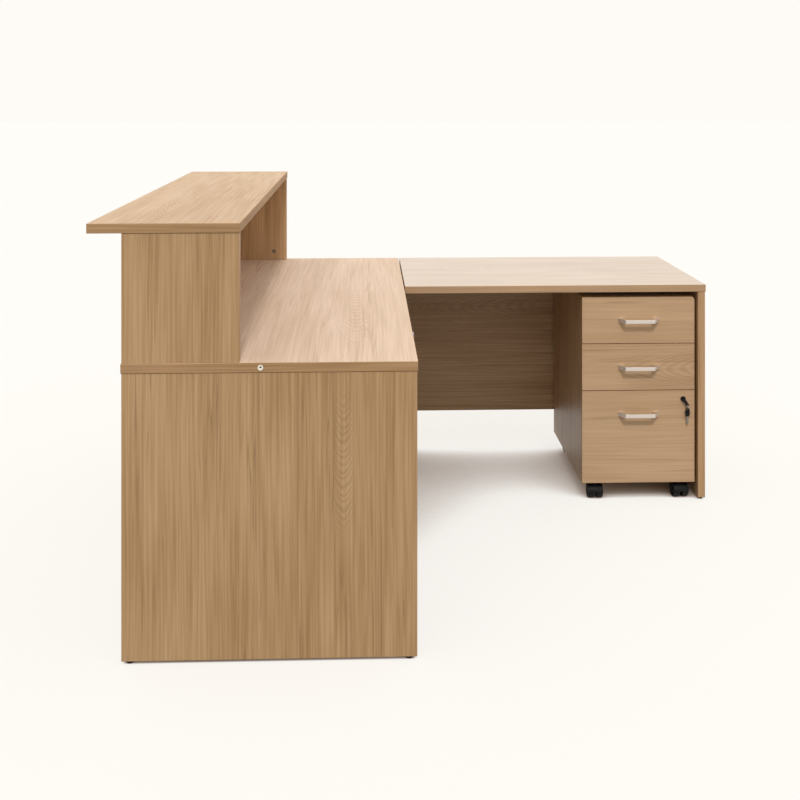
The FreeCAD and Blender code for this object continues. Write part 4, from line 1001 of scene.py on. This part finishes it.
# %% [markdown]
# ## Floor and light
# The desk stands in a pale studio. The floor looks nearly white to the camera and in reflections, and
# still takes the desk's shadow: most of what the camera sees is the floor's own glow, which fades and
# turns warm where the desk covers it, as oak throws its colour on what is near. Rays that light the
# desk meet a darker floor, so that the boards keep their shade below. A soft sky, brighter overhead like
# a ceiling of lamps, fills most shadows. One lamp high in front draws the handles' shadows.

# %% Sky
STUDIO_WHITE = "#FEFBF6"
SKY_LOW = 0.6
SKY_HIGH = 1.12


def seen_directly(tree):
    """One for what the camera, a glossy surface or glass sees, zero for light on its way to a surface."""
    path = add(tree, "LightPath").outputs
    seen = add(tree, "Math", {0: path["Is Camera Ray"], 1: path["Is Glossy Ray"]}, operation="MAXIMUM")
    return add(tree, "Math", {0: seen, 1: path["Is Transmission Ray"]}, operation="MAXIMUM")


world = bpy.data.worlds.new("studio")
bpy.context.scene.world = world
world.use_nodes = True
sky = world.node_tree
fill = sky.nodes["Background"]
fill.inputs["Color"].default_value = linear(STUDIO_WHITE)
way_up = add(sky, "SeparateXYZ", {0: add(sky, "TexCoord").outputs["Generated"]}).outputs[2]
ceiling = add(sky, "MapRange", {0: way_up, 1: 0.0, 2: 1.0, 3: SKY_LOW, 4: SKY_HIGH})
sky.links.new(ceiling.outputs[0], fill.inputs["Strength"])
backdrop = add(sky, "Background", {"Color": linear(STUDIO_WHITE), "Strength": 1.0})
both = add(sky, "MixShader", {0: seen_directly(sky), 1: fill, 2: backdrop})
sky.links.new(both.outputs[0], sky.nodes["World Output"].inputs["Surface"])
print(f"sky from {SKY_LOW} to {SKY_HIGH}")

# %% Floor
FLOOR_PAINT = "#7C7B79"
BOUNCE_GREY = "#6C6A66"
SHADE_TINT = "#A87238"
FLOOR_GLOW = 0.765
CONTACT_REACH = 1200
CONTACT_RAYS = 48
OPEN_ENOUGH = 0.4
FLOOR_HALF = 40
floor_mesh = bpy.data.meshes.new("floor")
quarters = ((-1, -1), (1, -1), (1, 1), (-1, 1))
floor_mesh.from_pydata([(x * FLOOR_HALF, y * FLOOR_HALF, 0) for x, y in quarters], [], [(0, 1, 2, 3)])
floor = bpy.data.objects.new("floor", floor_mesh)
bpy.context.scene.collection.objects.link(floor)
floor_paint, floor_tree, floor_shader = new_material("floor_paint")
floor_tree.nodes.remove(floor_shader)
around = add(floor_tree, "AmbientOcclusion", {"Distance": CONTACT_REACH * MM}, samples=CONTACT_RAYS)
# Beside one upright a point still sees half the room, and only where more is covered does it darken
covered = {0: around.outputs["AO"], 1: 0.0, 2: OPEN_ENOUGH, 3: 0.0, 4: 1.0}
openness = add(floor_tree, "MapRange", covered)
tints = {0: openness, 6: linear(SHADE_TINT), 7: linear(STUDIO_WHITE)}
tint = add(floor_tree, "Mix", tints, data_type="RGBA").outputs[2]
strength = add(floor_tree, "Math", {0: openness, 1: FLOOR_GLOW}, operation="MULTIPLY")
glow = add(floor_tree, "Emission", {"Color": tint, "Strength": strength})
shade = add(floor_tree, "BsdfDiffuse", {"Color": linear(FLOOR_PAINT)})
shown = add(floor_tree, "AddShader", {0: glow, 1: shade})
dim = add(floor_tree, "BsdfDiffuse", {"Color": linear(BOUNCE_GREY)})
floor_mix = add(floor_tree, "MixShader", {0: seen_directly(floor_tree), 1: dim, 2: shown})
floor_tree.links.new(floor_mix.outputs[0], floor_tree.nodes["Material Output"].inputs["Surface"])
floor_mesh.materials.append(floor_paint)
print(f"floor {FLOOR_HALF * 2} m across")

# %% Lamp
LAMP_STRENGTH = 1.3
LAMP_ELEVATION = 50
LAMP_HEADING = 3
LAMP_SPREAD = 8
lamp = bpy.data.lights.new("high_lamp", "SUN")
lamp.energy = LAMP_STRENGTH
lamp.angle = math.radians(LAMP_SPREAD)
lamp_stand = bpy.data.objects.new("high_lamp", lamp)
lamp_stand.rotation_euler = (math.radians(90 - LAMP_ELEVATION), 0, math.radians(LAMP_HEADING))
bpy.context.scene.collection.objects.link(lamp_stand)
print(f"lamp {LAMP_ELEVATION} degrees up, {LAMP_HEADING} degrees to the right")

# %% [markdown]
# ## The camera
# The photograph was taken with a level camera whose lens was slid downwards, as architects do it, so
# upright edges stay upright in the picture. A tilted camera would make them lean. The same picture comes
# from a plain camera whose own upright axis is kept plumb while it looks along the slanted middle ray:
# its stand holds that slanted set of axes.

# %% The camera
PICTURE = 800
FOCAL_PIXELS = 1042.3
HORIZON_PIXEL = 86.46
YAW = 0.0332
CAMERA_RIGHT_OF_DESK = 616
CAMERA_BEFORE_DESK = 2641.6
CAMERA_HEIGHT = 1454.5
SENSOR_WIDTH = 36

desk_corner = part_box("desk_top")[0]
camera_at = Vector((desk_corner.x, desk_corner.y, 0))
camera_at += Vector((CAMERA_RIGHT_OF_DESK, -CAMERA_BEFORE_DESK, CAMERA_HEIGHT)) * MM
look = Vector((math.sin(YAW), math.cos(YAW), 0))
right = Vector((math.cos(YAW), -math.sin(YAW), 0))
up = Vector((0, 0, 1))
middle_ray = look * FOCAL_PIXELS - up * (PICTURE / 2 - HORIZON_PIXEL)
camera = bpy.data.objects.new("camera", bpy.data.cameras.new("camera"))
camera.data.sensor_width = SENSOR_WIDTH
camera.data.lens = middle_ray.length * SENSOR_WIDTH / PICTURE
back = -middle_ray.normalized()
tripod = bpy.data.objects.new("tripod", None)
bpy.context.scene.collection.objects.link(tripod)
bpy.context.scene.collection.objects.link(camera)
camera.parent = tripod
camera.matrix_parent_inverse = Matrix((
    (right.x, up.x, back.x, camera_at.x),
    (right.y, up.y, back.y, camera_at.y),
    (right.z, up.z, back.z, camera_at.z),
    (0, 0, 0, 1),
))
bpy.context.scene.camera = camera
bpy.context.scene.view_settings.view_transform = "Standard"
print(f"lens {camera.data.lens:.1f} mm")
